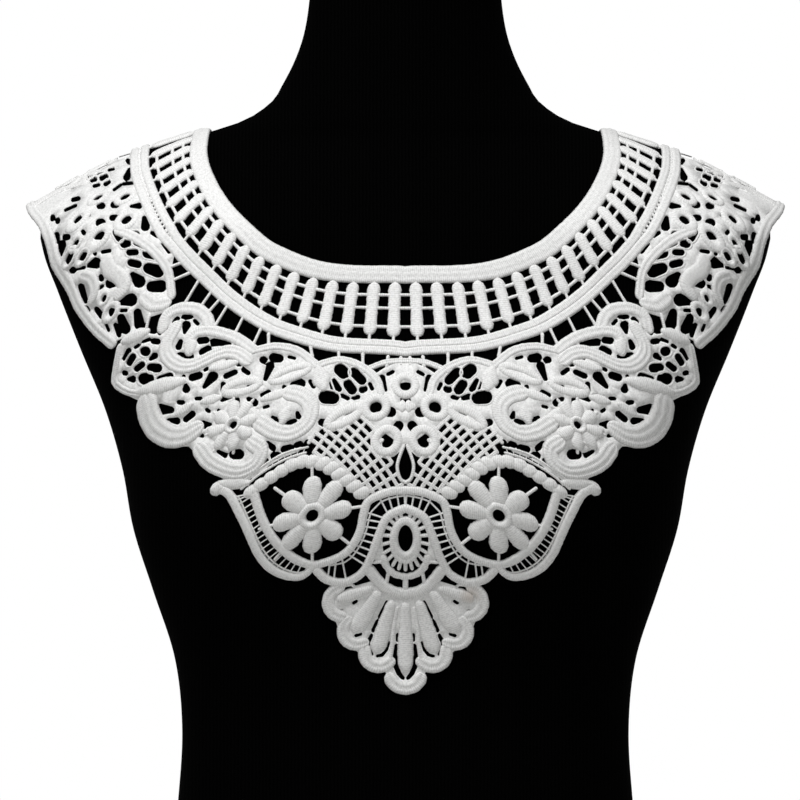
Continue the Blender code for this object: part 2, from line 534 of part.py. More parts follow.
    def front_only(self):
        self.webs += [np.array([self.cloth.find(point) for point in area]) for area in (WEB, FAN_WEB)]
        self.windows(WINDOWS)
        self.windows(SHOULDER_WINDOWS)
        self.windows([row for row in SHOULDER_WINDOWS if min(row[1], row[4]) > BACK_WINDOWS_ABOVE], BACK)
        for daisy in FRONT_DAISIES:
            self.daisy(*daisy[1:])
        for patch in FRONT_PATCHES:
            upper = self.route(patch.upper)
            lower = self.route(patch.lower)
            for part in np.linspace(0.0, 1.0, NET_LINES):
                line = [at_share(upper, share) * (1.0 - part) + at_share(lower, share) * part
                        for share in np.linspace(0.0, 1.0, 12)]
                self.add(line, NET_WIDTH)
        beads = self.route(BEADS_ROUTE)
        for bead in np.linspace(0.0, 1.0, BEADS):
            spot = at_share(beads, bead)
            self.add((spot, spot + 0.01), 0.5 * BEAD_SIZE)
        for lobe in FAN_LOBES:
            spot = self.cloth.find(lobe.centre)
            self.add((spot, spot + 0.01), lobe.radius + 0.5 * FAN_RIM)
        tear = self.route(TEARDROP)
        self.add(tear, 0.5 * TEARDROP_WIDTH + 1.6)
        self.cuts.append((tear, np.linspace(0.5, 0.42, len(tear)) * TEARDROP_WIDTH))

    def crest(self):
        """What lies on the shoulder ridge: the rim round the tip, and the ground inside it."""
        front = [self.cloth.find(point, FRONT) for point in SHOULDER_RIM]
        back = [self.cloth.find(point, BACK) for point in SHOULDER_RIM]
        rim = smooth_line(front[::-1] + [CREST_TIP] + back)
        self.add(rim, 0.5 * RIM_WIDTH)
        inner = [self.cloth.find(point, BACK) for point in SHOULDER_INNER]
        inner += [self.cloth.find(point, FRONT) for point in SHOULDER_INNER[::-1]]
        self.webs.append(np.vstack((rim, inner)))

    def back_border(self):
        for scallop in BACK_SCALLOPS:
            x, z = scallop.centre
            reach = scallop.radius
            turns = np.linspace(math.pi, 2.0 * math.pi, 7)
            bowl = [(x + reach * math.cos(turn), z + reach * math.sin(turn)) for turn in turns]
            route = [(x - reach, band_height(x - reach))] + bowl + [(x + reach, band_height(x + reach))]
            self.cord(route, BACK_BORDER_WIDTH, BACK)
            self.daisy((x, z + 2.0), *BACK_DAISY, side=BACK)
            for lean in (-11.0, 0.0, 11.0):
                self.cord(((x + lean, z + 12.0), (x + 1.2 * lean, band_height(x + lean))), BRIDE, BACK)
        self.cord(BACK_END_CORD, BACK_BORDER_WIDTH, BACK)
        self.cord(BACK_END_BRIDE, BRIDE, BACK)


def band_height(x):
    """Height of the outer band on the back view at x."""
    across = [spot[0] for spot in OUTER_BACK][::-1]
    return float(np.interp(x, across, [spot[1] for spot in OUTER_BACK][::-1]))


def collar_pattern(cloth):
    pattern = Pattern(cloth)
    pattern.bands()
    pattern.side(FRONT)
    pattern.side(BACK)
    pattern.front_only()
    pattern.crest()
    pattern.back_border()
    return pattern


def stamp(field, xs, runs, line, half):
    """Lower the field to the distance from a thread's edge, in the cells near it."""
    for start, end, first, last in zip(line, line[1:], half, half[1:]):
        margin = max(first, last) + 3.0
        i0, i1 = np.searchsorted(xs, (min(start[0], end[0]) - margin, max(start[0], end[0]) + margin))
        j0, j1 = np.searchsorted(runs, (min(start[1], end[1]) - margin, max(start[1], end[1]) + margin))
        if i1 <= i0 or j1 <= j0:
            continue
        way = end - start
        off_x = xs[i0:i1, None] - start[0]
        off_run = runs[None, j0:j1] - start[1]
        part = np.clip((off_x * way[0] + off_run * way[1]) / max(way @ way, 1e-9), 0.0, 1.0)
        away = np.hypot(off_x - part * way[0], off_run - part * way[1])
        near = away - (first + (last - first) * part)
        field[i0:i1, j0:j1] = np.minimum(field[i0:i1, j0:j1], near)


def stamp_area(field, xs, runs, loop):
    """Lower the field to the signed distance from an area's edge, in the cells near it."""
    low = loop.min(axis=0) - 3.0
    high = loop.max(axis=0) + 3.0
    i0, i1 = np.searchsorted(xs, (low[0], high[0]))
    j0, j1 = np.searchsorted(runs, (low[1], high[1]))
    part = field[i0:i1, j0:j1]
    closed = np.vstack((loop, loop[:1]))
    away = np.full_like(part, 3.0)
    stamp(away, xs[i0:i1], runs[j0:j1], closed, np.zeros(len(closed)))
    grid = np.stack(np.meshgrid(xs[i0:i1], runs[j0:j1], indexing="ij"), axis=-1).reshape(-1, 2)
    inside = within(grid, loop).reshape(part.shape)
    part[:] = np.minimum(part, np.where(inside, -away, away))


def lace_field(pattern):
    """Signed distance to the lace on a grid of the cloth: below zero in the lace."""
    xs = np.arange(-4.0 * CELL, WIDEST, CELL) + HALF_GAP
    runs = np.arange(-BACK_RUN, FRONT_RUN, CELL)
    field = np.full((len(xs), len(runs)), 3.0)
    for line, half in pattern.threads:
        stamp(field, xs, runs, line, half)
    for loop in pattern.webs:
        stamp_area(field, xs, runs, loop)
    cut = np.full_like(field, 3.0)
    for line, half in pattern.cuts:
        stamp(cut, xs, runs, line, half)
    for loop in pattern.gaps:
        stamp_area(cut, xs, runs, loop)
    field = np.maximum(field, -cut)
    edge = np.where(runs < -60.0, BACK_OPENING, HALF_GAP)
    return np.maximum(field, edge[None, :] - xs[:, None]), xs, runs


def crossings(field, xs, runs):
    """Each side of a cell that the lace's edge crosses, with the crossing point."""
    points = {}
    inside = field < 0.0
    for axis in (0, 1):
        near = inside[:-1] if axis == 0 else inside[:, :-1]
        far = inside[1:] if axis == 0 else inside[:, 1:]
        for i, j in np.argwhere(near != far):
            a = field[i, j]
            b = field[i + 1, j] if axis == 0 else field[i, j + 1]
            share = a / (a - b)
            spot = (xs[i] + share * CELL, runs[j]) if axis == 0 else (xs[i], runs[j] + share * CELL)
            points[(axis, int(i), int(j))] = spot
    return points


def outlines(field, xs, runs):
    """The closed edges of the lace, each a loop of points, with the lace on its left."""
    points = crossings(field, xs, runs)
    inside = field < 0.0
    code = (inside[:-1, :-1] * 1 + inside[1:, :-1] * 2 + inside[1:, 1:] * 4 + inside[:-1, 1:] * 8)
    sides = {"bottom": (0, 0, 0), "right": (1, 1, 0), "top": (0, 0, 1), "left": (1, 0, 0)}
    ways = {1: (("bottom", "left"),), 2: (("right", "bottom"),), 3: (("right", "left"),),
            4: (("top", "right"),), 6: (("top", "bottom"),), 7: (("top", "left"),),
            8: (("left", "top"),), 9: (("bottom", "top"),), 11: (("right", "top"),),
            12: (("left", "right"),), 13: (("bottom", "right"),), 14: (("left", "bottom"),),
            5: (("bottom", "right"), ("top", "left")), 10: (("right", "top"), ("left", "bottom"))}
    follow = {}
    for i, j in np.argwhere((code > 0) & (code < 15)):
        for start, end in ways[int(code[i, j])]:
            keys = []
            for name in (start, end):
                axis, di, dj = sides[name]
                keys.append((axis, int(i) + di, int(j) + dj))
            follow[keys[0]] = keys[1]
    loops = []
    while follow:
        first, key = follow.popitem()
        loop = [points[first]]
        while key != first:
            loop.append(points[key])
            key = follow.pop(key)
        loops.append(np.array(loop))
    return loops


def area_of(loop):
    x, y = loop[:, 0], loop[:, 1]
    return 0.5 * float(np.sum(x * np.roll(y, -1) - np.roll(x, -1) * y))


def thin_out(points, tolerance):
    """Keep the points of an open line that its shape needs."""
    if len(points) < 3:
        return list(points)
    way = points[-1] - points[0]
    off = points[1:-1] - points[0]
    length = np.hypot(*way)
    if length < 1e-9:
        away = np.hypot(off[:, 0], off[:, 1])
    else:
        away = np.abs(way[0] * off[:, 1] - way[1] * off[:, 0]) / length
    worst = int(np.argmax(away)) + 1
    if away[worst - 1] <= tolerance:
        return [points[0], points[-1]]
    return thin_out(points[:worst + 1], tolerance)[:-1] + thin_out(points[worst:], tolerance)


def edge_parts(cloth, here, after):
    """How many parts an edge needs, so that each stays close to the curved cloth."""
    middle = 0.5 * (here + after)
    spots = cloth.place(*np.array((here, middle, after)).T, 0.0)
    sag = np.linalg.norm(spots[1] - 0.5 * (spots[0] + spots[2]))
    by_length = np.hypot(*(after - here)) / LONGEST_EDGE
    return max(1, int(math.ceil(by_length)), int(math.ceil(math.sqrt(sag / MOST_SAG))))


def simple_loop(cloth, loop, tolerance):
    """A loop with few points, close enough to follow the curved cloth."""
    start = int(np.argmin(loop[:, 0] + 0.3 * loop[:, 1]))
    loop = np.roll(loop, -start, axis=0)
    far = int(np.argmax(np.hypot(*(loop - loop[0]).T)))
    closed = np.vstack((loop, loop[:1]))
    kept = thin_out(closed[:far + 1], tolerance)[:-1] + thin_out(closed[far:], tolerance)[:-1]
    finished = []
    for here, after in zip(kept, kept[1:] + kept[:1]):
        parts = edge_parts(cloth, here, after)
        finished += [here + (after - here) * part / parts for part in range(parts)]
    return np.array(finished)


def within(points, loop):
    """Which points lie in a loop."""
    odd = np.zeros(len(points), bool)
    x, y = points[:, 0], points[:, 1]
    for (x0, y0), (x1, y1) in zip(loop, np.roll(loop, -1, axis=0)):
        if y0 == y1:
            continue
        crossed = ((y0 > y) != (y1 > y)) & (x < x0 + (y - y0) * (x1 - x0) / (y1 - y0))
        odd ^= crossed
    return odd


def gap_width(loop, field, xs, runs):
    """Twice the furthest that a point of the gap lies from the lace."""
    i0, i1 = np.searchsorted(xs, (loop[:, 0].min(), loop[:, 0].max()))
    j0, j1 = np.searchsorted(runs, (loop[:, 1].min(), loop[:, 1].max()))
    if i1 <= i0 or j1 <= j0:
        return 0.0
    return 2.0 * float(field[i0:i1, j0:j1].max())


def sagging(cloth, flat, faces):
    """Middles of the inner edges that would cut too deep under the curved cloth."""
    pairs = np.sort(np.vstack((faces[:, (0, 1)], faces[:, (1, 2)], faces[:, (2, 0)])), axis=1)
    pairs, uses = np.unique(pairs, axis=0, return_counts=True)
    pairs = pairs[uses == 2]
    middle = flat[pairs].mean(axis=1)
    ends = [cloth.place(*flat[pairs[:, k]].T, 0.0) for k in (0, 1)]
    sag = np.linalg.norm(cloth.place(*middle.T, 0.0) - 0.5 * (ends[0] + ends[1]), axis=1)
    return [tuple(point) for point in middle[sag > INNER_SAG]]


def cut_sheet(cloth, field, xs, runs):
    """The lace as flat triangles, cut through at its gaps: the points and the triangles."""
    loops = outlines(field, xs, runs)
    outer = max(loops, key=area_of)
    gaps = [loop for loop in loops
            if area_of(loop) < 0.0 and gap_width(loop, field, xs, runs) >= SMALLEST_GAP]
    gaps = sorted(gaps, key=area_of)[:GAPS_PER_HALF]
    simple = [simple_loop(cloth, loop, OUTLINE_TOLERANCE) for loop in [outer] + gaps]
    simple = [loop for loop in simple if len(loop) > 2]
    points = [tuple(point) for loop in simple for point in loop]
    edges = []
    start = 0
    for loop in simple:
        count = len(loop)
        edges += [(start + k, start + (k + 1) % count) for k in range(count)]
        start += count
    for i in range(0, len(xs), int(LONGEST_EDGE / CELL)):
        for j in range(0, len(runs), int(LONGEST_EDGE / CELL)):
            if field[i, j] < -1.6:
                points.append((xs[i], runs[j]))
    for _ in range(REFINEMENTS + 1):
        flat, _, faces, _, _, _ = delaunay_2d_cdt([Vector(point) for point in points], edges, [], 0, 1e-5)
        flat = np.array([tuple(point) for point in flat])
        faces = np.array(faces)
        middle = flat[faces].mean(axis=1)
        kept = within(middle, simple[0])
        for loop in simple[1:]:
            near = np.all((middle > loop.min(axis=0)) & (middle < loop.max(axis=0)), axis=1)
            kept[near] &= ~within(middle[near], loop)
        faces = faces[kept]
        points += sagging(cloth, flat, faces)
    return flat, faces


def lace_mesh(cloth, flat, faces, field, xs, runs):
    """Wall of the lace: its inner face on the form, its outer face and the edges between them."""
    used = np.unique(faces)
    number = {int(old): new for new, old in enumerate(used)}
    x = flat[used, 0]
    run = flat[used, 1]
    i = np.clip(np.rint((x - xs[0]) / CELL).astype(int), 0, len(xs) - 1)
    j = np.clip(np.rint((run - runs[0]) / CELL).astype(int), 0, len(runs) - 1)
    crown = CROWN * np.clip(-field[i, j] / 2.5, 0.0, 1.0)
    inner = cloth.place(x, run, np.full(len(x), CLEAR))
    outer = cloth.place(x, run, CLEAR + WALL + crown)
    count = len(used)
    sides = {}
    triangles = []
    for face in faces:
        a, b, c = (number[int(corner)] for corner in face)
        (ax, ay), (bx, by), (cx, cy) = flat[face]
        if (bx - ax) * (cy - ay) - (by - ay) * (cx - ax) > 0.0:
            b, c = c, b
        triangles.append((a + count, b + count, c + count))
        triangles.append((a, c, b))
        for start, end in ((a, b), (b, c), (c, a)):
            sides[(start, end)] = sides.get((start, end), 0) + 1
    walls = []
    for start, end in sides:
        if (end, start) not in sides:
            walls.append((start, end, end + count, start + count))
    return np.vstack((inner, outer)), triangles, walls


def simple_material(name, colour, roughness):
    material = bpy.data.materials.new(name)
    material.use_nodes = True
    shader = material.node_tree.nodes["Principled BSDF"]
    shader.inputs["Base Color"].default_value = (*colour, 1.0)
    shader.inputs["Roughness"].default_value = roughness
    shader.inputs["Metallic"].default_value = 0.0
    material.diffuse_color = (*colour, 1.0)
    return material


def new_object(name, points, faces, material):
    mesh = bpy.data.meshes.new(name)
    placed = (np.asarray(points) + (0.0, TO_MIDDLE, 0.0)) * MM
    mesh.from_pydata([tuple(point) for point in placed], [], faces)
    mesh.validate()
    mesh.materials.append(material)
    thing = bpy.data.objects.new(name, mesh)
    bpy.context.scene.collection.objects.link(thing)
    return thing


def build_collar(material):
    cloth = Cloth()
    field, xs, runs = lace_field(collar_pattern(cloth))
    flat, faces = cut_sheet(cloth, field, xs, runs)
    points, triangles, walls = lace_mesh(cloth, flat, faces, field, xs, runs)
    mirrored = points * (-1.0, 1.0, 1.0)
    new_object("collar_left", points, triangles + walls, material)
    new_object("collar_right", mirrored, [face[::-1] for face in triangles + walls], material)


def form_levels():
    """Heights and scales of the form's rings: its sections, some between them, and the rounded top."""
    heights = []
    for low, high in zip(FORM_SECTIONS, FORM_SECTIONS[1:]):
        heights.append((low.z, 1.0))
        if high.z - low.z > FORM_RING_STEP:
            heights.append((0.5 * (low.z + high.z), 1.0))
    heights[-1:] = []
    for turn in np.radians((0, 30, 60, 90)):
        inset = NECK_ROUND * (1.0 - math.cos(turn)) / FORM_SECTIONS[-1].half
        heights.append((NECK_TOP - NECK_ROUND * (1.0 - math.sin(turn)), 1.0 - inset))
    return heights


def build_form(material):
    """Closed torso of rings, flat below and at the top of the neck."""
    points = []
    heights = form_levels()
    for z, scale in heights:
        half = float(spread("half", z)) * scale
        square = float(spread("square", z))
        for turn in np.arange(FORM_SEGMENTS) * 2.0 * math.pi / FORM_SEGMENTS:
            c, s = math.cos(turn), math.sin(turn)
            deep = float(spread("front" if s < 0.0 else "back", z)) * scale
            points.append((half * math.copysign(abs(c) ** (2.0 / square), c),
                           deep * math.copysign(abs(s) ** (2.0 / square), s), z))
    faces = []
    for ring in range(len(heights) - 1):
        start = ring * FORM_SEGMENTS
        above = start + FORM_SEGMENTS
        for k in range(FORM_SEGMENTS):
            beside = (k + 1) % FORM_SEGMENTS
            faces.append((start + k, start + beside, above + beside, above + k))
    faces.append(tuple(range(FORM_SEGMENTS))[::-1])
    last = (len(heights) - 1) * FORM_SEGMENTS
    faces.append(tuple(last + k for k in range(FORM_SEGMENTS)))
    form = new_object("dress_form", points, faces, material)
    form.data.shade_smooth()


def main():
    for thing in list(bpy.data.objects):
        bpy.data.objects.remove(thing)
    build_form(simple_material("black_cover", (0.008, 0.008, 0.009), 0.8))
    build_collar(simple_material("white_thread", (0.8, 0.8, 0.79), 0.7))


main()
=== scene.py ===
"""Guipure lace collar on a black dress form: the pieces, finishes, light and camera.

The file is laid out as an add-on and run as a script. Every thread of the lace is a satin stitched band or
cord, given as a route in mm on the front or the back view of the form, laid on the surface that the lace
takes and swept with a ridged section. A thin ground of the same outline lies under the threads.
"""
import math
from collections import namedtuple
from functools import cache

import bpy
import numpy as np
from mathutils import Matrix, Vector
from mathutils.geometry import delaunay_2d_cdt


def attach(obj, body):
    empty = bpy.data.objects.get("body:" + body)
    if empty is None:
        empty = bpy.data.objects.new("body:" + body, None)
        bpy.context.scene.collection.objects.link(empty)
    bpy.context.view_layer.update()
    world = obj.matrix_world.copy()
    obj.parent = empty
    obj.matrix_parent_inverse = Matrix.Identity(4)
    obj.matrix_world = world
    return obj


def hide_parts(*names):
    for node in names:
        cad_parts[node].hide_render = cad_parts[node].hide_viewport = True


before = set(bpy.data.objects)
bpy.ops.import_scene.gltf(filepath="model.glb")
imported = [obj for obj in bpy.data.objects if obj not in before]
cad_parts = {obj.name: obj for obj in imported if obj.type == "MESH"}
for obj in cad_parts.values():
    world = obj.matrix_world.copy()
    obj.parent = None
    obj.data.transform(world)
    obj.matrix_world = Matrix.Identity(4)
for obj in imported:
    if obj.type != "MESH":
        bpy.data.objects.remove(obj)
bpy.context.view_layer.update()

bl_info = {
    "name": "Lace collar on a dress form",
    "version": (1, 0, 0),
    "blender": (4, 5, 0),
    "location": "3D View > Sidebar > Lace",
    "description": "Builds the threads, ground, form and stage of a guipure lace collar",
    "category": "Object",
}

MM = 0.001
BODY = "root"
TO_MIDDLE = 11.55     # the form's own axis lies this far behind the middle of the whole depth, in mm

# Dress form, in mm
Section = namedtuple("Section", "z half front back square")
FORM_SECTIONS = (
    Section(0, 139, 97, 93, 2.4),
    Section(45, 132, 92, 90, 2.4),
    Section(94, 126, 86, 83, 2.4),
    Section(132, 124, 83, 79, 2.4),
    Section(170, 128, 87, 80, 2.4),
    Section(209, 140.5, 98, 84, 2.5),
    Section(242, 151, 112, 88, 2.6),
    Section(275, 157, 118, 91, 2.7),
    Section(308, 166.5, 112, 94, 2.8),
    Section(341, 180, 98, 95, 3.0),
    Section(374, 193, 85, 90, 3.1),
    Section(396, 201, 80, 83, 3.0),
    Section(407, 202.5, 77, 79, 2.8),
    Section(418, 196, 72, 74, 2.5),
    Section(429, 184, 68, 70, 2.1),
    Section(440, 169, 64, 66, 1.7),
    Section(451, 148, 60, 62, 1.45),
    Section(460, 117, 57, 59, 1.45),
    Section(467, 94, 56, 57, 1.75),
    Section(478, 75.5, 54, 55, 2.0),
    Section(490, 67.5, 52.5, 53, 2.0),
    Section(511, 58, 51, 51, 2.0),
    Section(534, 53.5, 50, 50, 2.0),
    Section(559, 53, 50, 50, 2.0),
)
NECK_TOP = 559.0
NECK_ROUND = 3.0
FORM_TURNS = 176
FORM_LEVEL_STEP = 4.0

# How the lace lies
CLEAR = 0.95          # from the form to the lace's inner face
STIFF_TURN = 1.15     # where the form turns away more steeply than this, the lace goes straight on
CAP_Z = 462.0         # above the neckline the lace's surface would run level over the neck
SLICE_STEP = 3.0
RUN_STEP = 2.0
FRONT_RUN = 440.0
BACK_RUN = 250.0
WIDEST = 222.0
CREST_LOWEST = 385.0  # the shoulder ridge is looked for between the cap and this height
CREST_LEVELS = 400
FRONT_FLOOR = 110.0   # each slice of the surface goes down to here in front
BACK_FLOOR = 250.0    # and to here behind
SLICE_POINTS = 300
SMOOTHING = (1, 1, 1, 0, 0)   # the surface is smoothed three times down its slices and twice across them
FRONT = 1
BACK = -1

# Threads: stations along, and how far the ground keeps inside them
STATION = 1.1
GROUND_INSET = 0.35
GROUND_FLOOR = 1.0
GROUND_WALL = 0.7
CELL = 0.6
OUTLINE_TOLERANCE = 0.22
LONGEST_EDGE = 9.0
MOST_SAG = 0.12
BACK_OPENING = 3.0
EDGE_WAVER = 0.12     # how far a stitched edge wavers
OUT_OF_REACH = 3.0    # distances from the ground's edge are measured up to here
SURE = 1.2            # a triangle this far from the edge needs no closer look
SMALLEST_LOOP = 0.5   # in square mm
BACK_RUNS = -60.0     # the back opening begins at this run

# Routes are given from the centre line, x from it and z above the base, on the front or the back view
NECK_FRONT = ((0, 382), (27, 382.5), (49, 385), (68.5, 392), (82, 400), (98.5, 416), (108.5, 431),
              (114, 446.5), (113, 460.5))
NECK_BACK = ((111, 455), (104, 444), (88, 434), (62, 427), (32, 424), (4, 423.5))
OUTER_FRONT = ((0, 341), (37, 343.5), (62.5, 350), (78, 356.5), (95, 368), (109.5, 381.5), (121.5, 393.5),
               (132.5, 407.5), (140.5, 423), (146, 437.5), (147, 447))
OUTER_BACK = ((145, 437), (138, 424), (116, 409), (84, 398), (44, 392), (4, 391))
NECK_WIDTH = 10.0
OUTER_WIDTH = 9.0
BAND_RISE = 1.7
BRIDE_RISE = 1.2
PEG_WIDTH = 7.8
PEG_STEM = 1.8
BRIDE = 1.8
PEG_RISE = 2.0
FRONT_PEGS = 18
BACK_PEGS = 15
LADDER_BRIDES = (0.28, 0.46, 0.72)

Cord = namedtuple("Cord", "name width ridges height route")
SCROLLS = (
    Cord("arch_over_scroll", 6.8, 2, 1.7, ((133, 353.4), (131.2, 359.3), (125.7, 363.1), (119.3, 363.8),
        (113.4, 362.5), (109.3, 358.8), (107.8, 354.2))),
    Cord("scroll", 8.0, 3, 2.0, ((126.2, 352.9), (128.8, 348.5), (131, 343.5), (130.6, 338.6),
        (127.2, 334.2), (121.8, 331.8), (115.4, 332.5), (110.5, 334.7), (104.6, 337.5), (97.7, 339.6),
        (91.3, 338.4), (86.9, 335.2))),
    Cord("scroll_comma", 6.4, 2, 1.8, ((118, 340.5), (118.5, 344.9), (116.3, 349), (112.5, 350.9),
        (107.5, 351.2), (101.1, 349.9), (93.8, 347.5), (88.8, 344.5), (83.9, 340.7))),
    Cord("arch_first", 4.6, 2, 1.6, ((82, 340.5), (71, 342.5), (59, 340), (48.5, 332))),
    Cord("arch_second", 4.6, 2, 1.6, ((48.5, 332), (36, 335), (24.5, 331.5), (16, 324.5), (13.5, 317))),
    Cord("arch_middle", 3.6, 2, 1.5, ((23, 329), (11.5, 333.5), (0, 334.5))),
    Cord("hexagon_band", 3.6, 2, 1.5, ((156.5, 343), (158.5, 332), (159, 323.5), (152.5, 318.5),
        (145, 317))),
    Cord("scallop", 11.6, 3, 1.9, ((141.6, 312.4), (140, 304.7), (135.6, 297.6), (127.9, 293.4),
        (120.2, 294), (115.8, 296.5))),
    Cord("corner_scroll", 8.8, 3, 2.0, ((112, 286.5), (107, 280), (98.5, 275.5), (89.5, 274.5),
        (81.5, 279), (79, 286), (83.5, 290))),
    Cord("bud_scroll", 9.6, 3, 2.0, ((63, 317.1), (57.5, 315.7), (52.8, 311.9), (51.7, 306.5),
        (54.7, 299.8), (63, 295), (71.8, 296.2), (79, 300.5))),
)
MEDALLION_CORDS = (
    Cord("medallion_outside", 4.8, 1, 1.7, ((103.1, 265.1), (98.2, 263.7), (94.6, 259.6), (91.6, 253.6),
        (88.3, 247), (85.2, 240.1), (82.8, 234.3), (80, 228.8), (75.9, 223.6), (71.2, 220), (66.8, 218.1),
        (62.4, 217), (58, 217), (54.2, 218.9), (50.9, 222.5))),
    Cord("medallion_inside", 5.0, 1, 1.7, ((82.8, 262.5), (79.2, 250.8), (75.6, 243.1), (71.2, 236.5),
        (65.7, 230.7), (58.6, 225.8), (50.6, 223.6), (41.2, 225.8), (32.7, 230.2), (27.5, 236.5),
        (24.5, 243.1), (22.8, 251.9), (20.6, 258), (15.1, 261.2), (8, 263.5), (0, 264.3))),
    Cord("oval_arch", 5.1, 1, 1.8, ((48.5, 220.5), (43, 215.5), (34, 213.8), (24.5, 218.5), (19, 227.5),
        (15, 238.5), (10, 249.5), (0, 254.5))),
    Cord("bowl", 6.4, 1, 1.8, ((20, 221), (14, 213.5), (7.5, 209), (0, 207.5))),
)
SASHES = (
    Cord("sash_upper", 1.5, 1, 1.3, ((91, 267.5), (79, 276.5), (66.5, 284), (53.5, 287.5))),
    Cord("sash_lower", 1.5, 1, 1.3, ((89.5, 265), (78, 274), (65.5, 281), (54.5, 284.5))),
)
SHOULDER_CORDS = (
    Cord("shoulder_cord", 4.9, 2, 1.6, ((158, 406.5), (146, 401), (136.1, 392.7), (130.4, 383.9),
        (128.4, 370.7))),
    Cord("shoulder_bulb", 8.0, 2, 1.8, ((132.3, 366.3), (137.8, 365.5), (142.7, 369.1))),
    Cord("shoulder_leaf", 7.8, 1, 1.9, ((164.2, 390), (162, 385), (156.5, 381.2), (154, 376.2),
        (156.5, 372.4))),
    Cord("shoulder_curl", 5.4, 2, 1.8, ((176.8, 382.3), (172.4, 380.3), (170.5, 374.6), (171.9, 369.1))),
    Cord("shoulder_top", 5.0, 2, 1.6, ((206.5, 419), (196.5, 425.5), (186.5, 430), (177, 432.5))),
)
SHOULDER_RIM = ((205, 416.5), (200, 411), (195.5, 401.5), (192, 389.5), (184.5, 377), (179, 365),
                (170, 353), (160.5, 344.5))
RIM_WIDTH = 4.8
Leaf = namedtuple("Leaf", "name start end width height")
LEAVES = (
    Leaf("hexagon_leaf", (145, 318.5), (122.5, 323.5), 8.5, 1.9),
    Leaf("hexagon_pad", (153.5, 346.5), (142.5, 350.5), 7.8, 1.8),
    Leaf("under_scroll", (106, 330.5), (93, 333.5), 6.0, 1.7),
    Leaf("arch_lobe", (47.5, 329), (45, 320.5), 10.0, 2.0),
    Leaf("bud", (67, 302), (65, 307), 8.5, 2.2),
    Leaf("bud_pad", (78, 313.5), (63.5, 318), 6.0, 1.8),
    Leaf("scroll_pad", (84.5, 307), (79, 300.5), 8.0, 1.7),
    Leaf("link_pad", (110.5, 312.5), (102, 314.5), 6.0, 1.7),
    Leaf("scallop_leaf", (124.3, 306.1), (116.9, 310.8), 6.0, 1.7),
    Leaf("comma_head", (117.4, 340.2), (118.3, 345.4), 8.0, 2.0),
    Leaf("corner_pad", (106.5, 297), (98.5, 290.5), 7.0, 1.7),
    Leaf("knob", (104, 265), (101, 265.5), 8.5, 1.9),
    Leaf("knob_pad", (100.5, 268), (86.5, 268.2), 7.0, 1.6),
    Leaf("flower_core", (3.5, 309.5), (0, 309.5), 8.0, 1.7),
)
SLIT_LEAVES = (
    Leaf("net_leaf", (41.5, 300), (25.5, 308), 12.0, 1.8),
    Leaf("comma_leaf", (72.5, 324), (53.5, 330.5), 9.5, 1.8),
    Leaf("side_leaf", (98, 318.5), (81, 322), 10.5, 1.8),
)
Ring = namedtuple("Ring", "name centre hole_x hole_z width")
RINGS = (
    Ring("flower_side", (16.2, 309), 3.3, 3.2, 5.0),
    Ring("flower_low", (10.2, 291), 3.6, 3.8, 5.2),
    Ring("flower_top", (0, 321), 3.0, 3.0, 5.0),
)
SHOULDER_RINGS = (
    Ring("petal", (180.2, 412.5), 2.4, 2.4, 4.8),
    Ring("petal", (153.5, 412), 2.8, 2.6, 4.8),
    Ring("petal", (168.5, 403), 3.0, 2.6, 4.8),
    Ring("petal", (154.5, 424.5), 2.6, 2.2, 3.8),
    Ring("petal", (169.5, 424), 2.6, 2.2, 3.8),
    Ring("ring", (184.5, 392), 2.4, 3.0, 2.4),
    Ring("ring", (177, 392.5), 2.4, 2.4, 2.2),
    Ring("ring", (161.5, 362), 2.2, 2.6, 3.0),
    Ring("ring", (181, 399.5), 1.9, 1.9, 2.2),
    Ring("ring", (165.3, 369.5), 1.4, 1.9, 2.4),
)
CENTRE_OVAL = Ring("centre_oval", (0, 238), 4.0, 7.7, 4.8)
OVAL_RIM = Ring("oval_rim", (0, 236.9), 5.2, 10.4, 3.6)
OVAL_SIDE = ((14.5, 241), (12.4, 240.5), (12.4, 235), (11.8, 230.5), (9.8, 226), (12.4, 223.4),
             (16.5, 225.5), (18.4, 229.5), (16.5, 236))
Daisy = namedtuple("Daisy", "name centre hole petals reach petal_width stem_reach height")
DAISIES = (
    Daisy("medallion_daisy", (51, 250.5), 3.5, 8, 21.8, 10.8, 28.8, 2.1),
    Daisy("small_daisy", (94, 299.5), 2.2, 8, 13.6, 7.6, 15.0, 2.7),
)
BACK_DAISY = (2.6, 8, 14.5, 6.6, 20.5, 1.9)
CREST_DAISY = (2.2, 8, 12.5, 5.6, 15.0, 1.2)
CREST_CENTRE = (178.0, 0.0)
CREST_TIP = (207.5, 0.0)
CREST_WINDOWS = (8.5, 13.0)     # the crest daisy's eight windows reach from here to here
SHOULDER_INNER = ((144.5, 352), (140.5, 358.5), (132.5, 361), (128, 367.5), (128.5, 377), (128.5, 385),
                  (126, 396), (133, 406.5), (140, 422), (144.5, 437.5), (146.5, 447))
BACK_WINDOWS_ABOVE = 356.0
SHOULDER_FROM = (125.0, 342.0)
Scallop = namedtuple("Scallop", "centre radius")
BACK_SCALLOPS = (Scallop((27, 364), 20.5), Scallop((70, 365), 20.5), Scallop((113, 371), 20.5))
BACK_BORDER_WIDTH = 4.8
BACK_TIE_END = (4.5, 345)
BACK_END_CORD = ((133, 360), (140, 352), (150, 346), (160, 344))
BACK_END_BRIDE = ((133, 385), (146, 372), (158, 366))
BACK_TIES = (-11.0, 0.0, 11.0)
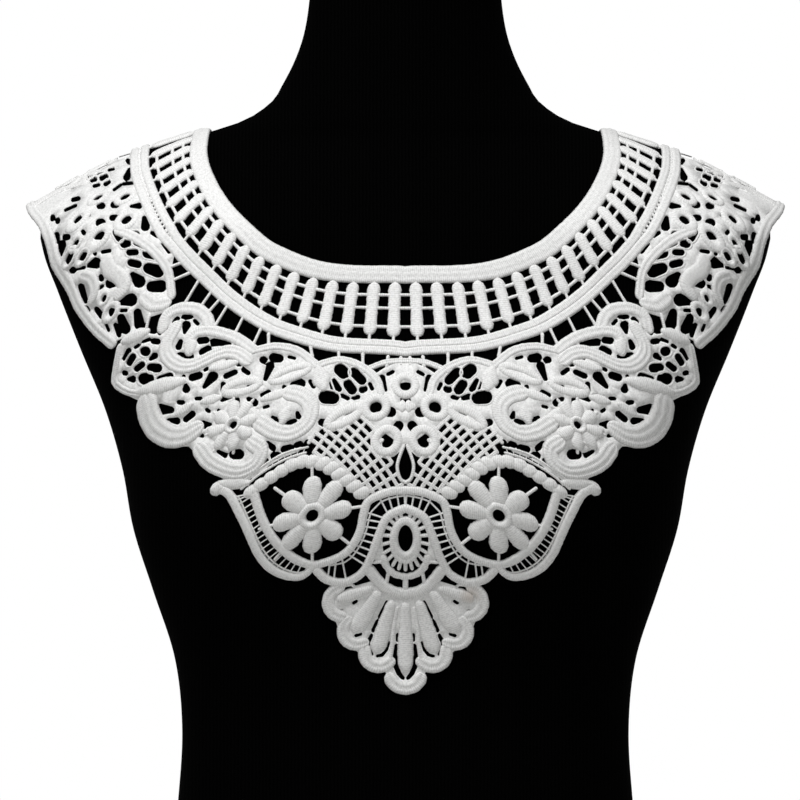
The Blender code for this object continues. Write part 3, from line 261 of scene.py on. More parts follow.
BRIDES = (
    ((112.5, 381), (121.8, 365.2)), ((104.5, 376), (113, 363.6)), ((99.5, 371.5), (109.2, 360.3)),
    ((96, 368), (105.3, 352.6)), ((87.5, 362), (93.8, 349.2)), ((79.2, 352.6), (83.9, 342.7)),
    ((75.1, 349.2), (75.1, 342.7)), ((52, 342.1), (51.2, 337.2)), ((36.6, 339.9), (36.6, 335.5)),
    ((23.4, 338.2), (23.4, 332.8)), ((9.6, 336.6), (10.2, 331.7)), ((2.5, 336.1), (2.5, 332.8)),
    ((118.5, 383.4), (128.4, 379)), ((121.8, 389.4), (130.6, 386.1)), ((140.5, 360), (142.6, 350.6)),
)
BEADS_ROUTE = ((84, 263.5), (70.5, 273), (58, 279.5), (44.5, 278.5), (34, 271), (24, 263))
BEADS = 13
BEAD_SIZE = 7.6

# Ground that fills the space between the cords, and the windows in it: x, z and width where each begins,
# and the same where it ends. A fine cord stands round the rimmed ones.
WEB = (
    (157.6, 342.7), (153.2, 347.1), (143.3, 351.5), (135, 350.4), (131.7, 356.4), (128.4, 363),
    (121.8, 365.8), (113, 364.7), (107.5, 360.3), (105.3, 354.2), (95.4, 351.5), (87.7, 348.2),
    (82.2, 341.6), (75.6, 343.8), (66.8, 342.7), (58, 338.2), (48.7, 331.7), (41.5, 335.5), (33.3, 336.6),
    (25, 333.3), (17.9, 326.7), (11.3, 331.1), (4.7, 333.6), (0, 334.1), (0, 289.9), (2.5, 285.5),
    (5.8, 282.2), (10.7, 280.8), (15.7, 282.7), (19, 286.6), (19.5, 291), (17.9, 294.8), (20.1, 300.9),
    (23.9, 304.7), (26.7, 303.6), (29.4, 299.8), (34.9, 296.5), (41.5, 295.4), (45.9, 297), (49.2, 293.2),
    (54.7, 291), (58, 284.9), (66.8, 281.6), (74.5, 277.2), (81.1, 271.7), (86.6, 269), (93.2, 268.4),
    (100.9, 270.6), (108.6, 276.1), (114.1, 283.2), (118.5, 287.7), (128.4, 287.7), (137.2, 293.2),
    (141.6, 301.4), (144.4, 312.4), (151.5, 315.7), (158.7, 320.1), (159.2, 332.8),
)
FAN_WEB = (
    (41.5, 211.2), (33.3, 212.9), (23.9, 213.4), (16.8, 215.1), (12.4, 210.1), (5.8, 206.8), (0, 205.7),
    (0, 154), (5.8, 156.2), (11.3, 163.9), (18.4, 166.1), (24.5, 173.2), (30.5, 178.8), (36, 185.9),
    (39.9, 195.3), (43.2, 203.5),
)
WINDOWS = (
    (86.1, 320.3, 1.1, 78.9, 321.8, 1.2), (65.7, 328.4, 1, 63, 330, 1),
    (33.3, 305.4, 1.1, 29.7, 307, 1.2), (93.9, 299.8, 3.9, 93.6, 299.8, 3.9),
    (121.6, 358.9, 1.9, 117.7, 358.9, 1.9), (125.1, 357.8, 2.2, 126.5, 355.9, 2.5),
    (120.2, 354.2, 4.4, 121.1, 350.2, 1.1), (115.6, 356.7, 1.4, 113.9, 355, 1.4),
    (123.2, 345.4, 1.9, 124.3, 342.4, 3), (123.8, 338, 2.3, 117.2, 337.2, 2.3),
    (112.5, 345.7, 3.3, 109.5, 346, 3.3), (105.1, 344.9, 3.6, 96.8, 344, 2.2),
    (111.1, 339.4, 3.6, 108.1, 341, 3.6), (93.2, 342.7, 1.3, 89.9, 341.3, 1.3),
    (97.6, 336.1, 1.7, 94.9, 334.7, 1.8), (91.3, 333, 2.8, 90.8, 333, 2.8),
    (109.7, 329.6, 1.4, 108.6, 330.3, 1.4), (88.8, 329.7, 1.9, 86.1, 327.8, 1.9),
    (98.2, 326.2, 2.6, 93.2, 328.4, 2.3), (105.3, 326.2, 5, 110, 320.5, 1.7),
    (99.7, 321.8, 2.2, 99.9, 318.2, 2.2), (105.1, 315.4, 1.2, 102.9, 315.3, 1.2),
    (116.6, 325.6, 3.6, 113, 326.7, 3.6), (121.3, 326.4, 1.4, 121.8, 324.8, 1.4),
    (120.2, 321.2, 1.7, 119.9, 319.3, 3.9), (154.3, 336.3, 1.4, 151.5, 340.7, 2.5),
    (139.7, 335.8, 1.1, 137.2, 337.7, 3), (138.1, 345.7, 2.5, 135.6, 345.4, 2.5),
    (143.6, 345.4, 1.1, 140.5, 346.8, 1.3), (148, 342.4, 1.2, 146.3, 343.5, 1.4),
    (154, 328.6, 2.2, 152.9, 328.4, 2.2), (151.5, 325.1, 1.4, 149.1, 325.1, 3.3),
    (133.7, 308.4, 5.5, 128, 308, 3), (129.4, 302.4, 1.4, 124.7, 302, 3.3),
    (119.9, 302.8, 2.8, 116.3, 305.8, 3), (124, 312.2, 1.7, 121.6, 311.9, 2),
    (114.4, 314.1, 1.3, 111.9, 314.1, 1.4), (108.6, 308, 1.4, 107.3, 307.1, 1.4),
    (113, 299.5, 3.9, 110.3, 299.8, 4.1), (109.7, 300, 2.8, 106.4, 300, 1),
    (113.6, 294.6, 1.4, 110.7, 293.7, 1.4), (104.2, 292.1, 1.1, 101.8, 293.7, 1.1),
    (102.3, 285.3, 1.3, 98.5, 283.1, 2.2), (93.8, 283.5, 4.4, 90.8, 283.7, 5),
    (102.3, 307.7, 1, 101.2, 306.9, 1), (100.1, 313.5, 2.2, 96, 315.2, 2.3),
    (92.7, 313, 3.6, 92.1, 307.5, 2.5), (85.8, 313.8, 1.7, 82.5, 311.6, 3.6),
    (85.8, 305, 1.2, 80.9, 307.2, 1.3), (83.3, 298.9, 1.1, 81.1, 298.4, 1.1),
    (95.7, 291, 1.1, 96.5, 288.2, 1.3), (78.1, 335, 3.3, 77.6, 335, 3.3),
    (72.3, 336.3, 4.4, 69, 335.8, 3.9), (63.8, 336.6, 1.1, 60.8, 335.8, 1.1),
    (74, 331.7, 3.9, 76.7, 324.5, 1.7), (66.3, 320.1, 2, 65.7, 317.4, 2),
    (61.1, 321.2, 3.6, 57.5, 322, 5), (52, 323.1, 1.8, 50.3, 320.4, 1.8),
    (78.4, 315.7, 1.9, 74.8, 317.4, 2.1), (77.3, 309.1, 1.1, 75.1, 309.7, 1.1),
    (72.6, 303.6, 1.4, 70.1, 302, 3), (66.6, 300, 1.8, 60.8, 301.4, 2.5),
    (59.1, 306.1, 1.4, 58, 303.6, 1.7), (75.1, 289.6, 2, 72.3, 287.1, 2.8),
    (72.1, 282.7, 3, 70.1, 283.2, 3), (66.3, 286.3, 3.3, 62.7, 287.1, 3.3),
    (59.4, 288.6, 2.5, 57.5, 289.3, 2.5), (76.5, 279.4, 1.4, 75.6, 280.5, 1.4),
    (23.7, 318.5, 3.1, 22.6, 319, 3.1), (19.5, 321.8, 1.4, 18.2, 319, 1.4),
    (34.7, 315.4, 1.7, 31.6, 313.9, 1.7), (28.1, 314.1, 1.8, 25.9, 314.6, 1.8),
    (45.9, 300.9, 3.3, 44.8, 300.6, 3.6), (41, 322.3, 0.9, 40.2, 319, 0.9),
    (17.3, 309.1, 5.2, 15.1, 309.7, 5.2), (8.8, 306.5, 5, 8, 306.5, 5), (1.9, 319.6, 4.7, 0, 319.8, 5.2),
    (1.1, 313.2, 2.8, 1.1, 310.5, 2.8), (5.2, 297, 4.4, 3.6, 299.2, 4.4),
    (11.3, 292.9, 3, 9.6, 289.9, 6.1), (12.9, 325.1, 3, 10.7, 318.2, 0.8),
    (9.6, 327, 1.4, 6.9, 328.4, 1.4), (0, 288.2, 0.9, 0, 278.3, 6.8), (0, 278.3, 6.8, 0, 270.1, 1.7),
    (39.6, 209.7, 1.9, 36.6, 209.8, 1.9), (39.6, 209.6, 1.7, 39.7, 205.2, 1),
    (33.6, 210.2, 1.1, 29.8, 210.8, 1.2), (27.2, 212.9, 0.9, 20.6, 215.3, 0.9),
    (28.5, 202.4, 1, 26.8, 203.4, 1), (35.1, 198, 1, 34.6, 198, 1), (31.8, 190.6, 1, 31.6, 187, 1),
    (27.2, 184.3, 1, 24.5, 185.2, 1), (10.2, 203.2, 0.8, 14.4, 194.7, 0.9),
    (15.2, 192.2, 1.7, 17.5, 187.2, 1.7), (18.6, 184.5, 1.2, 20.5, 180.8, 1.3),
    (20.5, 180.8, 1.3, 20.6, 178.2, 1.3), (20.6, 178.2, 1.3, 18.6, 174, 1.2),
    (15.3, 173, 1, 12.8, 173.5, 1), (12.8, 173.5, 1, 10.6, 176.1, 1), (10.6, 176.1, 1, 9.2, 180.6, 0.9),
    (4.3, 184.8, 1.2, 4.3, 181.8, 1.2), (4.9, 178.8, 1.4, 5.6, 172, 2), (5.6, 172, 2, 5.1, 167, 2),
    (5.1, 167, 2, 3.6, 163.4, 1.9), (3.6, 163.4, 1.9, 1.4, 160.8, 1.4),
)
RIMMED_WINDOWS = (
    (134.5, 324.9, 2.8, 129, 326.4, 3.6), (139.2, 331.1, 4.4, 135.6, 330.9, 4.4),
    (143, 325.1, 6.1, 140.8, 325.1, 6.1), (147.1, 330.6, 2.9, 144.1, 333, 2.9),
    (151.2, 333.9, 3, 149.1, 337.4, 3), (142.8, 340.1, 4.7, 142.2, 340.1, 4.7),
    (35.8, 329.5, 6.1, 33.8, 327.8, 6.1), (28.1, 328.1, 4.7, 23.9, 323.7, 4.4),
    (39.1, 323.7, 1.7, 36.6, 319, 3), (31.4, 321.5, 4.7, 29.2, 318.5, 4.7),
    (44, 314.6, 6.6, 39.6, 314.1, 6.1),
)
SHOULDER_WINDOWS = (
    (153.5, 445.2, 1.7, 152.4, 444.1, 2.5), (158.7, 446.3, 0.9, 153.2, 448, 1),
    (152.4, 440, 1.4, 153.7, 435.6, 3.6), (171.1, 424.5, 2.8, 168.6, 424.8, 2.8),
    (155.7, 424.7, 3.3, 153.2, 425, 3.3), (180.5, 412.8, 4.6, 180, 412.2, 4.6),
    (154.3, 412, 4.2, 152.9, 412, 4.2), (169.7, 404, 4.4, 167.5, 404, 4.4),
    (183.2, 423.2, 2.1, 180.4, 423.8, 2.1), (187.3, 417.5, 1.4, 181.8, 419.9, 1.5),
    (175.2, 414.4, 1.4, 174.1, 414.6, 1.4), (177.3, 405.9, 1.7, 176.8, 405.1, 1.9),
    (155.4, 431.8, 1.4, 150.4, 432.3, 1.4), (160.6, 428.5, 1.2, 157, 431.2, 1.2),
    (151, 419.4, 1.1, 146.6, 419.7, 3), (168.3, 419.7, 3.3, 167.2, 419.7, 3.3),
    (160.6, 420.2, 3.3, 159.5, 420.2, 3.3), (161.2, 413.1, 3, 159.5, 413.1, 3),
    (168.3, 410.5, 3.9, 167.2, 410.5, 3.9), (143.7, 413.1, 1.7, 143, 408.4, 4.4),
    (139.4, 405.1, 1.4, 136.4, 403.2, 1.4), (133.4, 399, 1.2, 129.8, 394.6, 1.3),
    (149.6, 382, 3.3, 146.3, 378.7, 6.6), (139.2, 375.7, 5.5, 134.2, 375.9, 6.1),
    (191.7, 404.3, 2.8, 191.7, 401.5, 2.8), (187, 403.2, 2.8, 185.6, 403.2, 2.8),
    (188.7, 399, 4.4, 189.5, 393.8, 1.7), (181.6, 399.6, 3.6, 180.5, 399.6, 3.6),
    (184.3, 393.3, 4.4, 184.3, 390.5, 4.4), (177.9, 392.7, 3.9, 176, 392.7, 3.9),
    (170.7, 393.9, 1.4, 170.3, 394, 1.4), (166.4, 394.9, 1.4, 162.5, 395.5, 1.4),
    (173.5, 387.8, 2.2, 170, 388.9, 5.5), (184, 384.7, 1.7, 182.6, 385.3, 3.3),
    (179.6, 386.1, 1.2, 176.3, 386.7, 1.2), (194.4, 413.9, 2.2, 194.4, 412.8, 2.2),
    (191.4, 412.2, 2.2, 191.4, 411.4, 2.2), (177.9, 376.2, 3.3, 175.7, 368.5, 2.8),
    (166.9, 381.4, 2.5, 166.9, 380.3, 2.5), (162.2, 377.6, 4.7, 159.8, 378.7, 5),
    (168.3, 375.1, 1.3, 166.4, 376.2, 1.3), (165.3, 369.9, 2.8, 165.3, 368.8, 2.8),
    (158.1, 366.9, 1.7, 150.7, 368.5, 6.6), (174.9, 364.1, 2.6, 174.4, 363, 2.6),
    (169.4, 363.6, 2.5, 166.7, 360, 3), (160.9, 362.5, 3, 160.9, 361.1, 3),
    (163.9, 354.8, 1.4, 162.8, 352, 1.4), (159, 354.8, 1.9, 157, 349.2, 2),
    (155.9, 358.6, 3.9, 153.5, 352.6, 5.2), (156.2, 362.7, 1.2, 153.2, 362.7, 1.2),
    (146.9, 361.4, 3.9, 145.8, 354.8, 5.2), (134.5, 359.2, 1.7, 138.3, 352.6, 5.5),
    (134.8, 349.8, 1.3, 131.2, 352.9, 1.4),
)
RIMMED_SHOULDER_WINDOWS = (
    (163.6, 439.7, 1.3, 161.4, 440.2, 1.3), (170.2, 438, 1.3, 167.8, 438.6, 1.3),
    (175.5, 436, 1.3, 173.8, 436.6, 1.3), (167.5, 435.2, 2.8, 165.6, 435.8, 2.8),
    (173, 434, 2, 171.3, 434.5, 2), (165.3, 431.8, 2.2, 163.9, 432.9, 2.2),
    (171.6, 430.8, 1.7, 169.4, 431.3, 1.7), (159.2, 405.1, 3, 157.3, 402.3, 3.6),
    (152.6, 404, 2.8, 147.7, 404.3, 2.8), (154.8, 398.9, 3.6, 152.6, 399.6, 3.6),
    (148.2, 399.9, 2.8, 142.7, 397.7, 3.1), (151.8, 394.4, 2.8, 148.2, 394.6, 2.8),
    (142.2, 393.8, 4.2, 138.1, 393, 4.4), (150.7, 388.9, 3.6, 146.9, 388, 3.6),
    (141.1, 385.8, 5.5, 136.1, 384.2, 6.6),
)
WINDOW_RIM = 1.1      # width of the fine cord round a window
WINDOW_GROWTH = 0.5   # a window's edge lies this far outside its reading, as the fine edges close it
# The outer band parts in two above this height, with a row of small holes between
BAND_PARTS_ABOVE = 400.0
BAND_CORD = 4.9
BAND_OFFSETS = (2.0, 2.8)
BAND_TIE_PITCH = 3.1
BAND_TIE_HALF = 1.6
BAND_END_HALF = 1.6

# Nets of the medallions and the centre, and the fan
NET_CENTRE = (108.5, 206.0)      # the centre net's lines are arcs about this point, and rays from it
NET_EDGE = ((53, 291), (48, 296), (41.5, 298.5), (30.5, 303.5), (23, 307.5), (16, 302.5), (14, 291.5),
            (9.5, 282.5), (4.5, 274), (2.5, 266), (8, 264), (18.5, 262), (29.5, 266), (37, 273),
            (41.5, 277), (48, 283))
NET_ARC_STEP = 4.4
NET_ARCS = (94.0, 134.0)
NET_RAY_STEP = 2.95
NET_RAYS = (24.0, 74.0)
NET_THREAD = 2.2
FINE_THREAD = 0.6
RUNG_PITCH = 4.2
RUNG_LINE = 0.3                  # a thread crosses the rungs at this share of their length
RUNG_THREADS = (0.9, 1.1)
STRIP_END = 44.0                 # the medallion's strip ends where its inner band reaches this x
ARCH_FROM = 41.0                 # the strip over the oval begins at this x
TEARDROP = ((1, 288), (3.5, 281.5), (4.5, 276.5), (3, 270.5), (0, 268.5))
TEARDROP_RIM = 2.0
OVAL_WEB = ((12, 227.5), (10.5, 223), (7, 219), (3, 217.5), (0, 217))
OVAL_SPOKES = 22
SPOKE_TURN = 0.14
SPOKE_FROM = (8.0, 12.8)
SPOKE_TO = (12.6, 18.6)
SPOKE_HALF = 1.1
BOWL_TIES = (((9.5, 218.5), (10.5, 213)), ((0.5, 216.5), (0.5, 210)), ((13, 225.5), (17, 225)))
ARCH_LOWER = ((45.5, 218), (33.5, 215), (24.5, 218.5), (19, 227.5), (15, 238.5), (10.5, 249.5), (0, 254.5))
FAN_CORDS = (
    Cord("fan_ridge_first", 2.4, 1, 1.4, ((4.5, 199.5), (6.5, 189), (7.5, 177), (9, 168.5))),
)
FAN_PETALS = (
    Leaf("fan_petal_middle", (0, 200.5), (0, 168.5), 9.2, 2.2),
    Leaf("fan_petal_second", (8, 201.5), (14.5, 179), 9.6, 2.1),
    Leaf("fan_petal_third", (16, 206.5), (25.5, 190.5), 11.0, 2.1),
    Leaf("fan_pad", (20.5, 210), (34, 205.5), 8.2, 2.1),
)
FAN_LOBES = (
    Scallop((0, 164), 8.9), Scallop((14.5, 175), 7.9), Scallop((26.5, 187), 7.6), Scallop((34, 203), 8.2),
)
FAN_TURNS = ((-158, -90), (-135, 8), (-112, 42), (-80, 72))
FAN_RIM = 7.4
STAIN = ((36.0, 205.0), 5.5)       # x, z and size of the faint brown mark, which is on one side only


def srgb(code):
    """A #rrggbb colour as linear red, green and blue."""
    parts = [int(code[k:k + 2], 16) / 255.0 for k in (1, 3, 5)]
    return tuple(part / 12.92 if part <= 0.04045 else ((part + 0.055) / 1.055) ** 2.4 for part in parts)


def spread(name, heights):
    """One column of the form's sections, read smoothly at the given heights."""
    rows = np.array([row.z for row in FORM_SECTIONS], float)
    values = np.array([getattr(row, name) for row in FORM_SECTIONS], float)
    slopes = np.gradient(values, rows)
    heights = np.clip(np.asarray(heights, float), rows[0], rows[-1])
    below = np.clip(np.searchsorted(rows, heights, side="right") - 1, 0, len(rows) - 2)
    start = rows[below]
    length = rows[below + 1] - start
    part = (heights - start) / length
    low = values[below]
    high = values[below + 1]
    rise = part * part * (3.0 - 2.0 * part)
    ease_in = part * (1.0 - part) ** 2
    ease_out = part * part * (part - 1.0)
    bend = length * (ease_in * slopes[below] + ease_out * slopes[below + 1])
    return low + rise * (high - low) + bend


def stiff_depth(x, heights, side):
    """Depth of the lace's surface at x on each level, straight on past a steep turn, and its reach."""
    half = spread("half", heights)
    deep = spread("front" if side == FRONT else "back", heights)
    square = spread("square", heights)
    steep = (STIFF_TURN * half / deep) ** (square / (square - 1.0))
    turn = half * (steep / (1.0 + steep)) ** (1.0 / square)
    turn_depth = deep * (1.0 / (1.0 + steep)) ** (1.0 / square)
    share = np.minimum(np.abs(x) / half, 1.0)
    round_part = deep * (1.0 - share ** square) ** (1.0 / square)
    straight_part = turn_depth - STIFF_TURN * (x - turn)
    reach = turn + turn_depth / STIFF_TURN
    return np.where(x <= turn, round_part, np.maximum(straight_part, 0.0)), reach


def slice_of_form(x, side):
    """The lace's surface in the plane at x, from the shoulder ridge down one side: run, y and z."""
    levels = np.linspace(CAP_Z, CREST_LOWEST, CREST_LEVELS)
    reach = stiff_depth(x, levels, side)[1]
    crest = levels[np.argmax(reach >= x)] if reach.max() >= x else CREST_LOWEST
    floor = FRONT_FLOOR if side == FRONT else BACK_FLOOR
    heights = crest - (crest - floor) * np.linspace(0.0, 1.0, SLICE_POINTS) ** 2
    depth = stiff_depth(x, heights, side)[0]
    heights = np.concatenate(([heights[0]], heights))
    depth = np.concatenate(([0.0], depth))
    steps = np.hypot(np.diff(heights), np.diff(depth))
    run = np.concatenate(([0.0], np.cumsum(steps)))
    return run, -side * depth, heights


def smoothed(grid, axis):
    """A grid smoothed once along one axis."""
    pad = ((1, 1), (0, 0)) if axis == 0 else ((0, 0), (1, 1))
    wide = np.pad(grid, pad, mode="reflect")
    before = wide[:-2] if axis == 0 else wide[:, :-2]
    after = wide[2:] if axis == 0 else wide[:, 2:]
    return 0.5 * grid + 0.25 * (before + after)


class Cloth:
    """The surface the lace takes: x across, and the run down each slice from the shoulder ridge."""

    def __init__(self):
        self.x = np.arange(0.0, WIDEST + SLICE_STEP, SLICE_STEP)
        self.run = np.arange(-BACK_RUN, FRONT_RUN + RUN_STEP, RUN_STEP)
        self.y = np.empty((len(self.x), len(self.run)))
        self.z = np.empty_like(self.y)
        ahead = self.run >= 0.0
        for row, x in enumerate(self.x):
            for side, part in ((FRONT, ahead), (BACK, ~ahead)):
                run, y, z = slice_of_form(x, side)
                self.y[row, part] = np.interp(side * self.run[part], run, y)
                self.z[row, part] = np.interp(side * self.run[part], run, z)
        taut = np.stack((self.y, self.z), axis=-1)
        for grid in (self.y, self.z):
            for axis in SMOOTHING:
                grid[:] = smoothed(grid, axis)
        across = np.stack((np.ones_like(self.y), np.gradient(self.y, SLICE_STEP, axis=0),
                           np.gradient(self.z, SLICE_STEP, axis=0)), axis=-1)
        down = np.stack((np.zeros_like(self.y), np.gradient(self.y, RUN_STEP, axis=1),
                         np.gradient(self.z, RUN_STEP, axis=1)), axis=-1)
        outward = np.cross(down, across)
        outward[0, :, 0] = 0.0
        self.outward = outward / np.maximum(np.linalg.norm(outward, axis=-1, keepdims=True), 1e-6)
        sunk = np.sum((taut - np.stack((self.y, self.z), axis=-1)) * self.outward[..., 1:], axis=-1)
        self.y += np.maximum(sunk, 0.0) * self.outward[..., 1]
        self.z += np.maximum(sunk, 0.0) * self.outward[..., 2]

    def weights(self, x, run):
        """Grid cell and share of each point."""
        column = np.clip(np.asarray(x, float) / SLICE_STEP, 0.0, len(self.x) - 1.001)
        line = np.clip((np.asarray(run, float) + BACK_RUN) / RUN_STEP, 0.0, len(self.run) - 1.001)
        return column.astype(int), line.astype(int), column % 1.0, line % 1.0

    def read(self, grid, x, run):
        """A grid's values between its points."""
        i, j, u, v = self.weights(x, run)
        if grid.ndim == 3:
            u = u[:, None]
            v = v[:, None]
        near = grid[i, j] * (1.0 - v) + grid[i, j + 1] * v
        far = grid[i + 1, j] * (1.0 - v) + grid[i + 1, j + 1] * v
        return near * (1.0 - u) + far * u

    def place(self, x, run, lift):
        """Points in metres, lifted off the form's surface along its outward direction."""
        side = np.where(np.asarray(x) < 0.0, -1.0, 1.0)
        x = np.abs(np.asarray(x, float))
        run = np.asarray(run, float)
        spot = np.stack((x, self.read(self.y, x, run), self.read(self.z, x, run)), axis=-1)
        spot += self.read(self.outward, x, run) * np.reshape(lift, (-1, 1))
        spot[:, 0] *= side
        return (spot + (0.0, TO_MIDDLE, 0.0)) * MM

    def find(self, spot, side=FRONT):
        """The point of the cloth that the front or back view shows at x and z."""
        x, z = spot
        rows = self.run >= 0.0 if side == FRONT else self.run <= 0.0
        column = min(x / SLICE_STEP, len(self.x) - 1.001)
        runs = []
        for row in (int(column), int(column) + 1):
            fall = -self.z[row, rows][::side]
            runs.append(np.interp(-z, fall, self.run[rows][::side]))
        share = column % 1.0
        return np.array((x, runs[0] * (1.0 - share) + runs[1] * share))


def smooth_line(points, step=1.6):
    """A curve through the points, which are cloth points, with a point about every step."""
    points = np.asarray(points, float)
    ends = np.vstack((2.0 * points[0] - points[1], points, 2.0 * points[-1] - points[-2]))
    line = []
    for before, start, end, after in zip(ends, ends[1:], ends[2:], ends[3:]):
        count = max(2, int(math.ceil(np.linalg.norm(end - start) / step)))
        for part in np.arange(count) / count:
            line.append(0.5 * (2.0 * start + (end - before) * part
                               + (2.0 * before - 5.0 * start + 4.0 * end - after) * part ** 2
                               + (3.0 * start - before - 3.0 * end + after) * part ** 3))
    line.append(points[-1])
    return np.array(line)


def at_share(line, share):
    """The point that lies at a share of a line's length."""
    steps = np.linalg.norm(np.diff(line, axis=0), axis=1)
    along = np.concatenate(([0.0], np.cumsum(steps))) / steps.sum()
    return np.array([np.interp(share, along, line[:, axis]) for axis in (0, 1)])


def resample(line, half, step):
    """Stations along a flat line about a step apart, with the half width at each."""
    lengths = np.linalg.norm(np.diff(line, axis=0), axis=1)
    along = np.concatenate(([0.0], np.cumsum(lengths)))
    count = max(3, int(math.ceil(along[-1] / step)) + 1)
    where = np.linspace(0.0, along[-1], count)
    spots = np.stack([np.interp(where, along, line[:, axis]) for axis in (0, 1)], axis=-1)
    return spots, np.interp(where, along, half), where


def ridged(ridges, groove=0.32, power=5.0):
    """Section of a satin stitched band: one low dome, with a groove between its ridges."""
    count = 6 if ridges == 1 else 4 * ridges
    v = np.linspace(-1.0, 1.0, count + 1)
    v = np.concatenate(([-1.0, -0.965], v[1:-1], [0.965, 1.0]))
    dome = np.sqrt(np.clip(1.0 - np.abs(v) ** power, 0.0, 1.0)) * (1.0 - 0.12 * v * v)
    phase = (0.5 * (v + 1.0) * ridges) % 1.0
    lobe = np.sin(math.pi * phase) ** 0.6
    inner = np.abs(v) < 1.0 - 1.0 / max(ridges, 1)
    if ridges > 1:
        dome = np.where(inner | (lobe > 0.0), dome * (1.0 - groove * (1.0 - lobe)), dome)
        outer = np.abs(v) > 0.9
        dome[outer] = np.sqrt(np.clip(1.0 - np.abs(v[outer]) ** power, 0.0, 1.0)) * 0.85
    return v, dome


def rounded(count=7):
    """Section of a fine thread."""
    turn = np.linspace(math.pi, 0.0, count)
    return np.cos(turn), np.sin(turn) ** 0.8


# The pieces of thread, each with the seed of its wavering edges
THREAD_SEEDS = {
    "lace_bands": 11, "lace_ladder": 12, "lace_brides": 13, "lace_scrolls": 14, "lace_flowers": 15,
    "lace_shoulders": 16, "lace_nets": 17, "lace_medallions": 18, "lace_fan": 19, "lace_back": 20,
}


